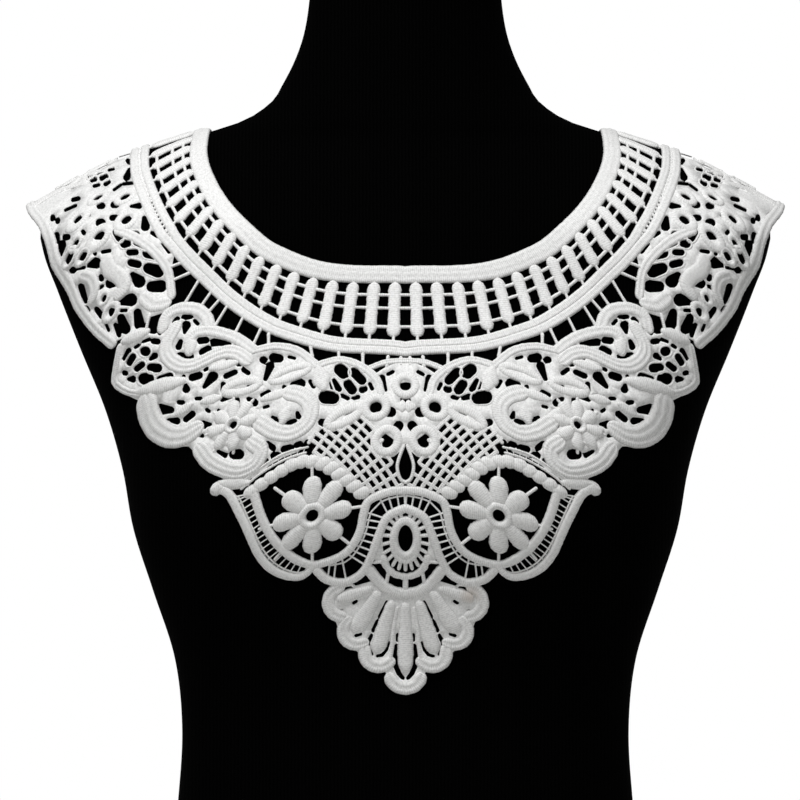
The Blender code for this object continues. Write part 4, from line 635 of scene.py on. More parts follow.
class Threads:
    """The swept threads of one piece, and the flat lines that the ground is made from."""

    laid = []      # every thread's flat line and half width, for the ground under them
    webs = []      # areas of ground that no thread covers, each a closed line
    gaps = []      # windows cut through the ground, each a closed line

    def __init__(self, cloth, name):
        self.cloth = cloth
        self.name = name
        self.random = np.random.default_rng(THREAD_SEEDS[name])
        self.points = []
        self.quads = []
        self.marks = []
        self.count = 0

    def keep(self, points, quads, marks):
        self.points.append(points)
        self.quads.append(quads + self.count)
        self.marks.append(marks)
        self.count += len(points)

    def lay(self, line, half, section, height, closed=False, whole=False, mirror=True, waver=0.0,
            floor=CLEAR, capped=True):
        """Sweep a section along a flat line; a whole line goes on to its mirror image."""
        line = np.asarray(line, float)
        half = np.broadcast_to(np.asarray(half, float), (len(line),)).copy()
        Threads.laid.append((line, half))
        if whole:
            line = np.vstack((line, line[-2::-1] * (-1.0, 1.0)))
            half = np.concatenate((half, half[-2::-1]))
        spots, widths, where = resample(line, half, STATION)
        if closed:
            spots, widths = spots[:-1], widths[:-1]
            heading = np.roll(spots, -1, axis=0) - np.roll(spots, 1, axis=0)
        else:
            heading = np.gradient(spots, axis=0)
        heading /= np.maximum(np.linalg.norm(heading, axis=1, keepdims=True), 1e-9)
        if waver:
            widths = widths + waver * self.random.uniform(-1.0, 1.0, len(widths))
        tall = np.ones(len(spots))
        if capped and not closed:
            spots, widths, tall, heading, where = self.capped(spots, widths, tall, heading, where)
        across = np.stack((-heading[:, 1], heading[:, 0]), axis=-1)
        v, h = section
        flat = spots[:, None, :] + across[:, None, :] * (v[None, :] * widths[:, None])[:, :, None]
        lift = floor + height * tall[:, None] * h[None, :]
        points = self.cloth.place(flat[..., 0].ravel(), flat[..., 1].ravel(), lift.ravel())
        rows, wide = len(spots), len(v)
        first = np.arange(rows if closed else rows - 1)
        after = (first + 1) % rows
        k = np.arange(wide)
        beside = (k + 1) % wide
        quads = np.stack((first[:, None] * wide + k, first[:, None] * wide + beside,
                          after[:, None] * wide + beside, after[:, None] * wide + k), axis=-1).reshape(-1, 4)
        marks = np.empty((len(first), wide, 4, 2))
        marks[:, :, :2, 0] = where[first][:, None, None]
        marks[:, :, 2:, 0] = where[first + 1][:, None, None]
        for corner, places in enumerate((v, v[beside], v[beside], v)):
            marks[:, :, corner, 1] = places
        marks = marks.reshape(-1, 4, 2)
        if not closed:
            ends = []
            for row, turned in ((0, False), (rows - 1, True)):
                fan = [(row * wide + a, row * wide + b, row * wide + c, row * wide + d)
                       for a, b, c, d in self.end_quads(wide)]
                ends += [quad[::-1] for quad in fan] if not turned else fan
            quads = np.vstack((quads, np.array(ends)))
            marks = np.concatenate((marks, np.zeros((len(ends), 4, 2))))
        corner = points[quads]
        volume = np.einsum("ij,ij->i", corner[:, 0], np.cross(corner[:, 1], corner[:, 2])).sum()
        volume += np.einsum("ij,ij->i", corner[:, 0], np.cross(corner[:, 2], corner[:, 3])).sum()
        if volume < 0.0:
            quads = quads[:, ::-1]
            marks = marks[:, ::-1]
        self.keep(points, quads, marks)
        if mirror and not whole:
            self.keep(points * (-1.0, 1.0, 1.0), quads[:, ::-1], marks[:, ::-1])

    @staticmethod
    def end_quads(wide):
        """Faces that close an end ring, between its two edges; a triangle's last corner is given twice."""
        low, high = 0, wide - 1
        faces = []
        while high - low > 2:
            faces.append((low, low + 1, high - 1, high))
            low += 1
            high -= 1
        if high - low == 2:
            faces.append((low, low + 1, high, high))
        return faces

    @staticmethod
    def capped(spots, widths, tall, heading, where):
        """Round both ends by the half width."""
        turns = np.radians((84.0, 64.0, 38.0))
        parts = []
        for end, sign in ((0, -1.0), (-1, 1.0)):
            reach = sign * widths[end] * np.sin(turns)
            parts.append((spots[end] + reach[:, None] * heading[end], widths[end] * np.cos(turns),
                          np.cos(turns) ** 0.45, np.repeat(heading[end][None, :], 3, axis=0),
                          where[end] + reach))
        start, last = parts
        last = [part[::-1] for part in last]
        return [np.concatenate(rows) for rows in zip(start, (spots, widths, tall, heading, where), last)]

    def route(self, points, side=FRONT):
        return smooth_line([self.cloth.find(point, side) for point in points])

    def cord(self, points, width, ridges=1, height=1.6, side=FRONT, waver=EDGE_WAVER):
        """A band along a route; one that ends on the centre line goes on to its mirror image."""
        section = rounded() if width < 2.0 else ridged(ridges)
        self.lay(self.route(points, side), 0.5 * width, section, height, whole=points[-1][0] == 0,
                 waver=waver)

    def cords(self, rows, side=FRONT):
        for row in rows:
            self.cord(row.route, row.width, row.ridges, row.height, side)

    def leaf(self, row):
        """A pad that is widest in its middle."""
        ends = (self.cloth.find(row.start), self.cloth.find(row.end))
        part = np.linspace(0.0, 1.0, 9)
        line = ends[0] + (ends[1] - ends[0]) * part[:, None]
        half = 0.5 * row.width * (1.0 - 0.4 * (2.0 * part - 1.0) ** 2)
        self.lay(line, half, ridged(1, power=2.6), row.height, waver=0.2)

    def slit_leaf(self, row):
        """A leaf of two ridges round a slit."""
        ends = (self.cloth.find(row.start), self.cloth.find(row.end))
        middle = 0.5 * (ends[0] + ends[1])
        along = 0.5 * (ends[1] - ends[0])
        across = np.array((-along[1], along[0])) / np.linalg.norm(along)
        offset = 0.25 * row.width + 0.45
        turn = np.linspace(0.0, 2.0 * math.pi, 33)
        line = middle + np.cos(turn)[:, None] * along * 1.1 + np.sin(turn)[:, None] * across * offset
        self.lay(line, 0.24 * row.width, ridged(1, power=2.6), row.height, closed=True, waver=0.12)

    def ring(self, row, height, side=FRONT):
        middle = self.cloth.find(row.centre, side)
        turn = np.linspace(0.0, 2.0 * math.pi, 33)
        reach = np.array((row.hole_x, row.hole_z)) + 0.5 * row.width
        line = middle + np.stack((np.cos(turn), np.sin(turn)), axis=-1) * reach
        self.lay(line, 0.5 * row.width, ridged(1, power=3.0), height, closed=True, mirror=row.centre[0] > 0,
                 waver=0.08)

    def flower(self, middle, hole, petals, reach, petal_width, stem_reach, height):
        """A daisy: petals round an eye, and a bride beyond each petal."""
        circle = np.linspace(0.0, 2.0 * math.pi, 29)
        eye = np.stack((np.cos(circle), np.sin(circle)), axis=-1) * (hole + 0.1 * reach)
        for turn in np.arange(petals) * 2.0 * math.pi / petals:
            heading = np.array((math.cos(turn), math.sin(turn)))
            distance = np.linspace(hole + 0.25 * reach, reach - 0.5 * petal_width, 8)
            width = np.interp(np.linspace(0.0, 1.0, 8), (0.0, 0.5, 1.0), (0.42, 0.47, 0.5)) * petal_width
            self.lay(middle + distance[:, None] * heading, width, ridged(1, power=2.4), height, waver=0.22)
            self.lay((middle + (reach - 2.0) * heading, middle + stem_reach * heading), 0.5 * BRIDE,
                     rounded(), BRIDE_RISE)
        self.lay(middle + eye, 0.11 * reach, ridged(1, power=2.6), 1.15 * height, closed=True, waver=0.1)

    def brides(self, rows, side=FRONT):
        """Thin threads that are a little wider at both ends."""
        for row in rows:
            line = self.route(row, side)
            share = np.linspace(0, 1, len(line))
            half = 0.5 * BRIDE * np.interp(share, (0, 0.3, 0.7, 1), (1.25, 1.0, 1.0, 1.25))
            self.lay(line, half, rounded(), BRIDE_RISE)

    def petal(self, row):
        """A pad that widens towards its end."""
        ends = (self.cloth.find(row.start), self.cloth.find(row.end))
        part = np.linspace(0.0, 1.0, 11)
        line = ends[0] + (ends[1] - ends[0]) * part[:, None]
        half = 0.5 * row.width * np.interp(part, (0.0, 0.75, 1.0), (0.62, 1.0, 0.94))
        self.lay(line, half, ridged(1, power=3.4), row.height, mirror=row.start[0] > 0, waver=0.2)

    def window_edge(self, row, side, grown):
        """The closed flat line round a window, this far outside its reading."""
        x, z, width, far_x, far_z, far_width = row
        view = around(np.array((x, z)), np.array((far_x, far_z)),
                      0.5 * width + grown, 0.5 * far_width + grown)
        flat = np.array([self.cloth.find((abs(spot[0]), spot[1]), side) for spot in view])
        flat[:, 0] *= np.where(view[:, 0] < 0.0, -1.0, 1.0)
        return flat

    def windows(self, rows, side=FRONT, rimmed=False):
        """Windows through the ground, each with a fine cord round it where they are rimmed."""
        for row in rows:
            Threads.gaps.append(self.window_edge(row, side, WINDOW_GROWTH)[:-1])
            if rimmed:
                edge = self.window_edge(row, side, WINDOW_GROWTH + 0.35 * WINDOW_RIM)
                self.lay(edge, 0.5 * WINDOW_RIM, rounded(5), 1.1, closed=True)

    def piece(self, material):
        points = np.vstack(self.points)
        return mesh_piece(self.name, points, np.vstack(self.quads), material, np.concatenate(self.marks))


def around(start, end, first, last):
    """The closed line round a window with round ends of these half widths."""
    way = end - start
    heading = math.atan2(way[1], way[0])
    turns = np.linspace(0.5 * math.pi, 1.5 * math.pi, 9) + heading
    back = start + first * np.stack((np.cos(turns), np.sin(turns)), axis=-1)
    front = end - last * np.stack((np.cos(turns), np.sin(turns)), axis=-1)
    return np.vstack((back, front, back[:1]))


def beside(line, offset):
    """A line at an offset to the side of another."""
    heading = np.gradient(line, axis=0)
    heading /= np.linalg.norm(heading, axis=1, keepdims=True)
    return line + np.stack((-heading[:, 1], heading[:, 0]), axis=-1) * np.reshape(offset, (-1, 1))


def mesh_piece(name, points, faces, material, marks=None):
    """A smooth mesh object of quads and triangles; a quad whose last two corners agree is a triangle."""
    faces = np.asarray(faces)
    keep = np.ones(faces.shape, bool)
    if faces.shape[1] == 4:
        keep[:, 3] = faces[:, 3] != faces[:, 2]
        first = (faces[:, 0] == faces[:, 1])
        keep[first, 0] = False
    mesh = bpy.data.meshes.new(name)
    mesh.vertices.add(len(points))
    mesh.vertices.foreach_set("co", np.asarray(points, np.float32).ravel())
    mesh.loops.add(int(keep.sum()))
    mesh.loops.foreach_set("vertex_index", faces[keep].astype(np.int32))
    total = keep.sum(axis=1).astype(np.int32)
    mesh.polygons.add(len(faces))
    mesh.polygons.foreach_set("loop_start", np.concatenate(([0], np.cumsum(total)[:-1])).astype(np.int32))
    mesh.polygons.foreach_set("loop_total", total)
    if marks is not None:
        layer = mesh.uv_layers.new(name="stitch")
        layer.data.foreach_set("uv", marks[keep].astype(np.float32).ravel())
    mesh.update(calc_edges=True)
    mesh.validate()
    mesh.shade_smooth()
    mesh.materials.append(material)
    thing = bpy.data.objects.new(name, mesh)
    bpy.context.scene.collection.objects.link(thing)
    return thing


def whole_line(cloth, front, back):
    """A band's line in front and its line over the shoulder to the back opening."""
    start = smooth_line([cloth.find(point) for point in front])
    rest = smooth_line([start[-1]] + [cloth.find(point, BACK) for point in back])
    return start, rest


def stamp(field, xs, runs, line, half):
    """Lower the field to the distance from a thread's edge, in the cells near it."""
    for start, end, first, last in zip(line, line[1:], half, half[1:]):
        margin = max(first, last) + OUT_OF_REACH
        i0, i1 = np.searchsorted(xs, (min(start[0], end[0]) - margin, max(start[0], end[0]) + margin))
        j0, j1 = np.searchsorted(runs, (min(start[1], end[1]) - margin, max(start[1], end[1]) + margin))
        if i1 <= i0 or j1 <= j0:
            continue
        way = end - start
        off_x = xs[i0:i1, None] - start[0]
        off_run = runs[None, j0:j1] - start[1]
        part = np.clip((off_x * way[0] + off_run * way[1]) / max(way @ way, 1e-9), 0.0, 1.0)
        away = np.hypot(off_x - part * way[0], off_run - part * way[1])
        near = away - (first + (last - first) * part)
        field[i0:i1, j0:j1] = np.minimum(field[i0:i1, j0:j1], near)


def stamp_area(field, xs, runs, loop):
    """Lower the field to the signed distance from an area's edge, in the cells near it."""
    low, high = loop.min(axis=0) - OUT_OF_REACH, loop.max(axis=0) + OUT_OF_REACH
    i0, i1 = np.searchsorted(xs, (low[0], high[0]))
    j0, j1 = np.searchsorted(runs, (low[1], high[1]))
    part = field[i0:i1, j0:j1]
    closed = np.vstack((loop, loop[:1]))
    away = np.full_like(part, OUT_OF_REACH)
    stamp(away, xs[i0:i1], runs[j0:j1], closed, np.zeros(len(closed)))
    grid = np.stack(np.meshgrid(xs[i0:i1], runs[j0:j1], indexing="ij"), axis=-1).reshape(-1, 2)
    inside = within(grid, loop).reshape(part.shape)
    part[:] = np.minimum(part, np.where(inside, -away, away))


def ground_field(laid, webs, cuts):
    """Signed distance to the ground's edge on a grid of the whole cloth: below zero in the ground."""
    xs = np.arange(0.0, WIDEST, CELL)
    runs = np.arange(-BACK_RUN, FRONT_RUN, CELL)
    field = np.full((len(xs), len(runs)), OUT_OF_REACH)
    for line, half in laid:
        stamp(field, xs, runs, line, half)
    for loop in webs:
        stamp_area(field, xs, runs, loop)
    field += GROUND_INSET
    cut = np.full_like(field, OUT_OF_REACH)
    for loop in cuts:
        stamp_area(cut, xs, runs, loop)
    field = np.maximum(field, -cut)
    opening = np.where(runs < BACK_RUNS, BACK_OPENING, -OUT_OF_REACH)
    field = np.maximum(field, opening[None, :] - xs[:, None])
    return np.vstack((field[:0:-1], field)), np.concatenate((-xs[:0:-1], xs)), runs


def crossings(field, xs, runs):
    """Each side of a cell that the lace's edge crosses, with the crossing point."""
    points = {}
    inside = field < 0.0
    for axis in (0, 1):
        near = inside[:-1] if axis == 0 else inside[:, :-1]
        far = inside[1:] if axis == 0 else inside[:, 1:]
        for i, j in np.argwhere(near != far):
            a = field[i, j]
            b = field[i + 1, j] if axis == 0 else field[i, j + 1]
            share = a / (a - b)
            spot = (xs[i] + share * CELL, runs[j]) if axis == 0 else (xs[i], runs[j] + share * CELL)
            points[(axis, int(i), int(j))] = spot
    return points


def outlines(field, xs, runs):
    """The closed edges of the lace, each a loop of points, with the lace on its left."""
    points = crossings(field, xs, runs)
    inside = field < 0.0
    code = (inside[:-1, :-1] * 1 + inside[1:, :-1] * 2 + inside[1:, 1:] * 4 + inside[:-1, 1:] * 8)
    sides = {"bottom": (0, 0, 0), "right": (1, 1, 0), "top": (0, 0, 1), "left": (1, 0, 0)}
    ways = {1: (("bottom", "left"),), 2: (("right", "bottom"),), 3: (("right", "left"),),
            4: (("top", "right"),), 6: (("top", "bottom"),), 7: (("top", "left"),),
            8: (("left", "top"),), 9: (("bottom", "top"),), 11: (("right", "top"),),
            12: (("left", "right"),), 13: (("bottom", "right"),), 14: (("left", "bottom"),),
            5: (("bottom", "right"), ("top", "left")), 10: (("right", "top"), ("left", "bottom"))}
    follow = {}
    for i, j in np.argwhere((code > 0) & (code < 15)):
        for start, end in ways[int(code[i, j])]:
            keys = []
            for name in (start, end):
                axis, di, dj = sides[name]
                keys.append((axis, int(i) + di, int(j) + dj))
            follow[keys[0]] = keys[1]
    loops = []
    while follow:
        first, key = follow.popitem()
        loop = [points[first]]
        while key != first:
            loop.append(points[key])
            key = follow.pop(key)
        loops.append(np.array(loop))
    return loops


def area_of(loop):
    """The area in a loop, below zero where it runs clockwise."""
    x, y = loop[:, 0], loop[:, 1]
    return 0.5 * float(np.sum(x * np.roll(y, -1) - np.roll(x, -1) * y))


def thin_out(points, tolerance):
    """Keep the points of an open line that its shape needs."""
    if len(points) < 3:
        return list(points)
    way = points[-1] - points[0]
    off = points[1:-1] - points[0]
    length = np.hypot(*way)
    if length < 1e-9:
        away = np.hypot(off[:, 0], off[:, 1])
    else:
        away = np.abs(way[0] * off[:, 1] - way[1] * off[:, 0]) / length
    worst = int(np.argmax(away)) + 1
    if away[worst - 1] <= tolerance:
        return [points[0], points[-1]]
    return thin_out(points[:worst + 1], tolerance)[:-1] + thin_out(points[worst:], tolerance)


def edge_parts(cloth, here, after):
    """How many parts an edge needs, so that each stays close to the curved cloth."""
    middle = 0.5 * (here + after)
    spots = cloth.place(*np.array((here, middle, after)).T, 0.0) / MM
    sag = np.linalg.norm(spots[1] - 0.5 * (spots[0] + spots[2]))
    by_length = np.hypot(*(after - here)) / LONGEST_EDGE
    return max(1, int(math.ceil(by_length)), int(math.ceil(math.sqrt(sag / MOST_SAG))))


def simple_loop(cloth, loop, tolerance):
    """A loop with few points, close enough to follow the curved cloth."""
    start = int(np.argmin(loop[:, 0] + 0.3 * loop[:, 1]))
    loop = np.roll(loop, -start, axis=0)
    far = int(np.argmax(np.hypot(*(loop - loop[0]).T)))
    closed = np.vstack((loop, loop[:1]))
    kept = thin_out(closed[:far + 1], tolerance)[:-1] + thin_out(closed[far:], tolerance)[:-1]
    finished = []
    for here, after in zip(kept, kept[1:] + kept[:1]):
        parts = edge_parts(cloth, here, after)
        finished += [here + (after - here) * part / parts for part in range(parts)]
    return np.array(finished)


def within(points, loop):
    """Which points lie in a loop."""
    odd = np.zeros(len(points), bool)
    x, y = points[:, 0], points[:, 1]
    for (x0, y0), (x1, y1) in zip(loop, np.roll(loop, -1, axis=0)):
        if y0 == y1:
            continue
        crossed = ((y0 > y) != (y1 > y)) & (x < x0 + (y - y0) * (x1 - x0) / (y1 - y0))
        odd ^= crossed
    return odd


def cut_ground(cloth, field, xs, runs):
    """The ground as flat triangles, cut through at every gap."""
    loops = outlines(field, xs, runs)
    simple = [simple_loop(cloth, loop, OUTLINE_TOLERANCE) for loop in loops
              if abs(area_of(loop)) > SMALLEST_LOOP]
    simple = [loop for loop in simple if len(loop) > 2]
    points = [tuple(point) for loop in simple for point in loop]
    edges = []
    start = 0
    for loop in simple:
        count = len(loop)
        edges += [(start + k, start + (k + 1) % count) for k in range(count)]
        start += count
    pitch = int(LONGEST_EDGE / CELL)
    for i in range(0, len(xs), pitch):
        for j in range(0, len(runs), pitch):
            if field[i, j] < -SURE:
                points.append((xs[i], runs[j]))
    flat, _, faces, _, _, _ = delaunay_2d_cdt([Vector(point) for point in points], edges, [], 0, 1e-5)
    flat = np.array([tuple(point) for point in flat])
    faces = np.array(faces)
    middle = flat[faces].mean(axis=1)
    i = np.clip(np.rint((middle[:, 0] - xs[0]) / CELL).astype(int), 0, len(xs) - 1)
    j = np.clip(np.rint((middle[:, 1] - runs[0]) / CELL).astype(int), 0, len(runs) - 1)
    sure = field[i, j]
    kept = sure < 0.0
    for loop in simple:
        near = np.abs(sure) < SURE
        near &= np.all((middle > loop.min(axis=0)) & (middle < loop.max(axis=0)), axis=1)
        if area_of(loop) < 0.0:
            inside = within(middle[near], loop)
            spots = np.flatnonzero(near)
            kept[spots[inside]] = False
    outside = np.ones(len(middle), bool)
    for loop in simple:
        if area_of(loop) > 0.0:
            outside &= ~within(middle, loop)
    kept &= ~outside
    return flat, faces[kept]


def add_node(tree, kind, inputs=(), **settings):
    """A node with its settings; each input is a value or another node's output."""
    made = tree.nodes.new(kind)
    for name, value in settings.items():
        setattr(made, name, value)
    for socket, value in dict(inputs).items():
        if isinstance(value, bpy.types.NodeSocket):
            tree.links.new(value, made.inputs[socket])
        else:
            made.inputs[socket].default_value = value
    return made


def maths(tree, operation, *values):
    """One step of arithmetic on values or other nodes' outputs."""
    return add_node(tree, "ShaderNodeMath", dict(enumerate(values)), operation=operation).outputs[0]


def mixed(tree, share, first, second):
    """Two colours mixed by a share of the second."""
    return add_node(tree, "ShaderNodeMix", {"Factor": share, "A": first, "B": second},
                    data_type="RGBA").outputs["Result"]


def noise(tree, spot, scale, detail=2.0):
    inputs = {"Vector": spot, "Scale": scale, "Detail": detail}
    return add_node(tree, "ShaderNodeTexNoise", inputs).outputs["Fac"]


def new_material(name):
    material = bpy.data.materials.new(name)
    material.use_nodes = True
    shader = material.node_tree.nodes["Principled BSDF"]
    return material, material.node_tree, shader


def stitched_thread(colours, sizes, name="polyester_thread_satin_stitched", marked=True, stained=False):
    """Polyester embroidery thread, satin stitched: soft white with a fine cross rib where it was stitched.
    Its colour is mottled at random and darker in the rib's grooves, which is painted shade, and on marked
    threads darker towards the edges, painted shade where a cord meets the ground.

    The real stitches lie 0.4 mm apart, too fine to show, so the rib is drawn about three times as coarse.
    """
    material, tree, shader = new_material(name)
    spot = add_node(tree, "ShaderNodeTexCoord").outputs["Object"]
    fleck = noise(tree, spot, 900.0)
    cloud = noise(tree, spot, 90.0, 3.0)
    height = fleck
    if marked:
        mark = add_node(tree, "ShaderNodeUVMap", uv_map="stitch").outputs["UV"]
        along, across, _ = add_node(tree, "ShaderNodeSeparateXYZ", {"Vector": mark}).outputs
        turn = maths(tree, "MULTIPLY", along, 2.0 * math.pi / (sizes.stitch / MM))
        rib = maths(tree, "SINE", maths(tree, "MULTIPLY_ADD", cloud, 9.0, turn))
        height = maths(tree, "MULTIPLY_ADD", rib, 0.13, fleck)
    # the colour follows the height: random flecks are real tone, and on the marked threads the rib's grooves
    # take the darker colour, painted shade
    shade = add_node(tree, "ShaderNodeMapRange",
                     {"Value": height, "From Min": 0.22, "From Max": 0.68}).outputs[0]
    colour = mixed(tree, shade, (*colours.thread_fleck_and_groove_shade, 1.0), (*colours.thread, 1.0))
    if marked:
        # painted shade: the colour darkens towards each thread's edges, where a cord meets the ground
        off = maths(tree, "ABSOLUTE", across)
        edge = add_node(tree, "ShaderNodeMapRange",
                        {"Value": off, "From Min": 0.78, "From Max": 1.0, "To Max": 0.55},
                        interpolation_type="SMOOTHSTEP").outputs[0]
        colour = mixed(tree, edge, colour, (*colours.painted_edge_shade, 1.0))
    if stained:
        (x, z), size = STAIN
        gap = add_node(tree, "ShaderNodeVectorMath", {0: spot, 1: (x * MM, -0.09, z * MM)},
                       operation="DISTANCE").outputs["Value"]
        share = add_node(tree, "ShaderNodeMapRange", {"Value": gap, "From Min": 0.4 * size * MM,
                                                      "From Max": 1.4 * size * MM, "To Min": 0.5,
                                                      "To Max": 0.0}).outputs[0]
        colour = mixed(tree, share, colour, (*colours.stain, 1.0))
    bump = add_node(tree, "ShaderNodeBump", {"Height": height, "Strength": 0.55, "Distance": 0.25 * MM})
    tree.links.new(colour, shader.inputs["Base Color"])
    tree.links.new(bump.outputs["Normal"], shader.inputs["Normal"])
    shader.inputs["Roughness"].default_value = 0.6
    shader.inputs["Specular IOR Level"].default_value = 0.3
    shader.inputs["Sheen Weight"].default_value = 0.12
    shader.inputs["Sheen Roughness"].default_value = 0.4
    return material


def knitted_cover(colours):
    """Cotton jersey, knitted and dyed black: it drinks the light and shows a faint rib only close by.

    The real wales are 0.6 mm apart; they are drawn 2 mm apart so that they show at all.
    """
    material, tree, shader = new_material("cotton_jersey_knitted_black")
    spot = add_node(tree, "ShaderNodeTexCoord").outputs["Object"]
    wales = add_node(tree, "ShaderNodeTexWave", {"Vector": spot, "Scale": 160.0, "Distortion": 1.5,
                                                 "Detail": 1.0}).outputs["Fac"]
    shade = mixed(tree, wales, (*colours.cover, 1.0), (*colours.cover_light, 1.0))
    bump = add_node(tree, "ShaderNodeBump", {"Height": wales, "Strength": 0.3, "Distance": 0.3 * MM})
    tree.links.new(shade, shader.inputs["Base Color"])
    tree.links.new(bump.outputs["Normal"], shader.inputs["Normal"])
    shader.inputs["Roughness"].default_value = 0.95
    shader.inputs["Specular IOR Level"].default_value = 0.01
    return material


def studio_paper(colours):
    """Seamless studio paper, matt: a plain pale floor."""
    material, tree, shader = new_material("studio_paper_matt")
    spot = add_node(tree, "ShaderNodeTexCoord").outputs["Object"]
    grain = noise(tree, spot, 300.0)
    bump = add_node(tree, "ShaderNodeBump", {"Height": grain, "Strength": 0.05, "Distance": 0.1 * MM})
    tree.links.new(bump.outputs["Normal"], shader.inputs["Normal"])
    shader.inputs["Base Color"].default_value = (*colours.floor, 1.0)
    shader.inputs["Roughness"].default_value = 0.9
    return material


def build_form(material):
    """The torso as one smooth closed form, flat below and at the top of the neck."""
    levels = [(z, 1.0) for z in np.linspace(0.0, NECK_TOP - NECK_ROUND, int(NECK_TOP / FORM_LEVEL_STEP))]
    for turn in np.radians((30, 60, 90)):
        inset = NECK_ROUND * (1.0 - math.cos(turn)) / FORM_SECTIONS[-1].half
        levels.append((NECK_TOP - NECK_ROUND * (1.0 - math.sin(turn)), 1.0 - inset))
    turns = np.arange(FORM_TURNS) * 2.0 * math.pi / FORM_TURNS
    c, s = np.cos(turns), np.sin(turns)
    rings = []
    for z, scale in levels:
        power = 2.0 / float(spread("square", z))
        deep = np.where(s < 0.0, spread("front", z), spread("back", z)) * scale
        rings.append(np.stack((float(spread("half", z)) * scale * np.sign(c) * np.abs(c) ** power,
                               deep * np.sign(s) * np.abs(s) ** power + TO_MIDDLE,
                               np.full(FORM_TURNS, z)), axis=-1))
    points = np.vstack(rings + [np.array(((0.0, TO_MIDDLE, 0.0), (0.0, TO_MIDDLE, NECK_TOP)))]) * MM
    k = np.arange(FORM_TURNS)
    beside = (k + 1) % FORM_TURNS
    ring = np.arange(len(levels) - 1)[:, None] * FORM_TURNS
    quads = np.stack((ring + k, ring + beside, ring + FORM_TURNS + beside, ring + FORM_TURNS + k), axis=-1)
    last = (len(levels) - 1) * FORM_TURNS
    low, high = len(points) - 2, len(points) - 1
    base = np.stack((beside, k, np.full(FORM_TURNS, low), np.full(FORM_TURNS, low)), axis=-1)
    top = np.stack((last + k, last + beside, np.full(FORM_TURNS, high), np.full(FORM_TURNS, high)), axis=-1)
    form = mesh_piece("dress_form_cover", points, np.vstack((quads.reshape(-1, 4), base, top)), material)
    flat = np.ones(len(form.data.polygons), bool)
    flat[-2 * FORM_TURNS:] = False
    form.data.polygons.foreach_set("use_smooth", flat)
    return form


def band_height(x):
    """Height of the outer band on the back view at x."""
    across = [spot[0] for spot in OUTER_BACK][::-1]
    return float(np.interp(x, across, [spot[1] for spot in OUTER_BACK][::-1]))


def band_lines(cloth):
    """The neck band and the outer band, each as its two lines."""
    return whole_line(cloth, NECK_FRONT, NECK_BACK), whole_line(cloth, OUTER_FRONT, OUTER_BACK)


def build_bands(cloth, material):
    """The neck band, and the outer band that parts in two over the shoulder, with ties between."""
    threads = Threads(cloth, "lace_bands")
    (neck_front, neck_back), (outer_front, outer_back) = band_lines(cloth)
    line = np.vstack((neck_back[::-1], neck_front[-2::-1]))
    threads.lay(line, 0.5 * NECK_WIDTH, ridged(3, groove=0.14, power=7.0), BAND_RISE, whole=True,
                waver=0.08)
    line = np.vstack((outer_back[::-1], outer_front[-2::-1]))
    height = cloth.place(line[:, 0], line[:, 1], np.zeros(len(line)))[:, 2] / MM
    offset = np.interp(height, (BAND_PARTS_ABOVE, BAND_PARTS_ABOVE + 6.0), BAND_OFFSETS)
    for sign in (-1.0, 1.0):
        threads.lay(beside(line, sign * offset), 0.5 * BAND_CORD, ridged(2, groove=0.12), BAND_RISE,
                    whole=True, waver=0.08)
    parted = line[height > BAND_PARTS_ABOVE]
    length = np.linalg.norm(np.diff(parted, axis=0), axis=1).sum()
    for share in np.arange(0.0, length, BAND_TIE_PITCH) / length:
        spot = at_share(parted, share)
        ahead = at_share(parted, share + 0.01) - at_share(parted, share - 0.01)
        ahead /= np.linalg.norm(ahead)
        across = BAND_TIE_HALF * np.array((-ahead[1], ahead[0]))
        threads.lay((spot - across, spot + across), 0.85, rounded(5), BRIDE_RISE, capped=False)
    for start, end in ((neck_back[-1], outer_back[-1]), (outer_back[-1], cloth.find(BACK_TIE_END, BACK))):
        threads.lay((start, end), BAND_END_HALF, ridged(1), 1.5)
    return threads.piece(material)


def build_ladder(cloth, material):
    """Pegs with blunt stitched ends between the bands, and three brides across each gap."""
    threads = Threads(cloth, "lace_ladder")
    (neck_front, neck_back), (outer_front, outer_back) = band_lines(cloth)
    for inner, outer, pegs in ((neck_front, outer_front, FRONT_PEGS), (neck_back, outer_back, BACK_PEGS)):
        places = [[at_share(line, (peg + 0.5) / pegs) for line in (inner, outer)] for peg in range(pegs)]
        for peg, (top, bottom) in enumerate(places):
            heading = (bottom - top) / np.linalg.norm(bottom - top)
            first = top + heading * (0.5 * NECK_WIDTH + 0.42 * PEG_WIDTH)
            last = bottom - heading * (0.5 * OUTER_WIDTH + 0.75 * PEG_WIDTH)
            part = np.linspace(0.0, 1.0, 9)
            half = 0.5 * PEG_WIDTH * np.interp(part, (0, 0.2, 0.5, 0.85, 1), (0.96, 0.9, 0.86, 0.9, 1.0))
            threads.lay(first + (last - first) * part[:, None], half, ridged(2, groove=0.16, power=3.4),
                        PEG_RISE, waver=0.22)
            threads.lay((top, bottom), 0.5 * PEG_STEM, rounded(), 1.3)
            for share in LADDER_BRIDES:
                spot = top + share * (bottom - top)
                if peg == 0 and inner is neck_front:
                    threads.lay((spot, (0.0, spot[1])), 0.5 * BRIDE, rounded(), BRIDE_RISE, whole=True)
            for share in LADDER_BRIDES:
                if peg < pegs - 1:
                    beyond, below = places[peg + 1]
                    threads.lay((top + share * (bottom - top), beyond + share * (below - beyond)),
                                0.5 * BRIDE, rounded(), BRIDE_RISE, waver=0.08)
    return threads.piece(material)


def on_shoulder(*spots):
    """Whether all places lie on the shoulder, where the back shows the front's pattern again."""
    return all(x >= SHOULDER_FROM[0] and z >= SHOULDER_FROM[1] for x, z in spots)


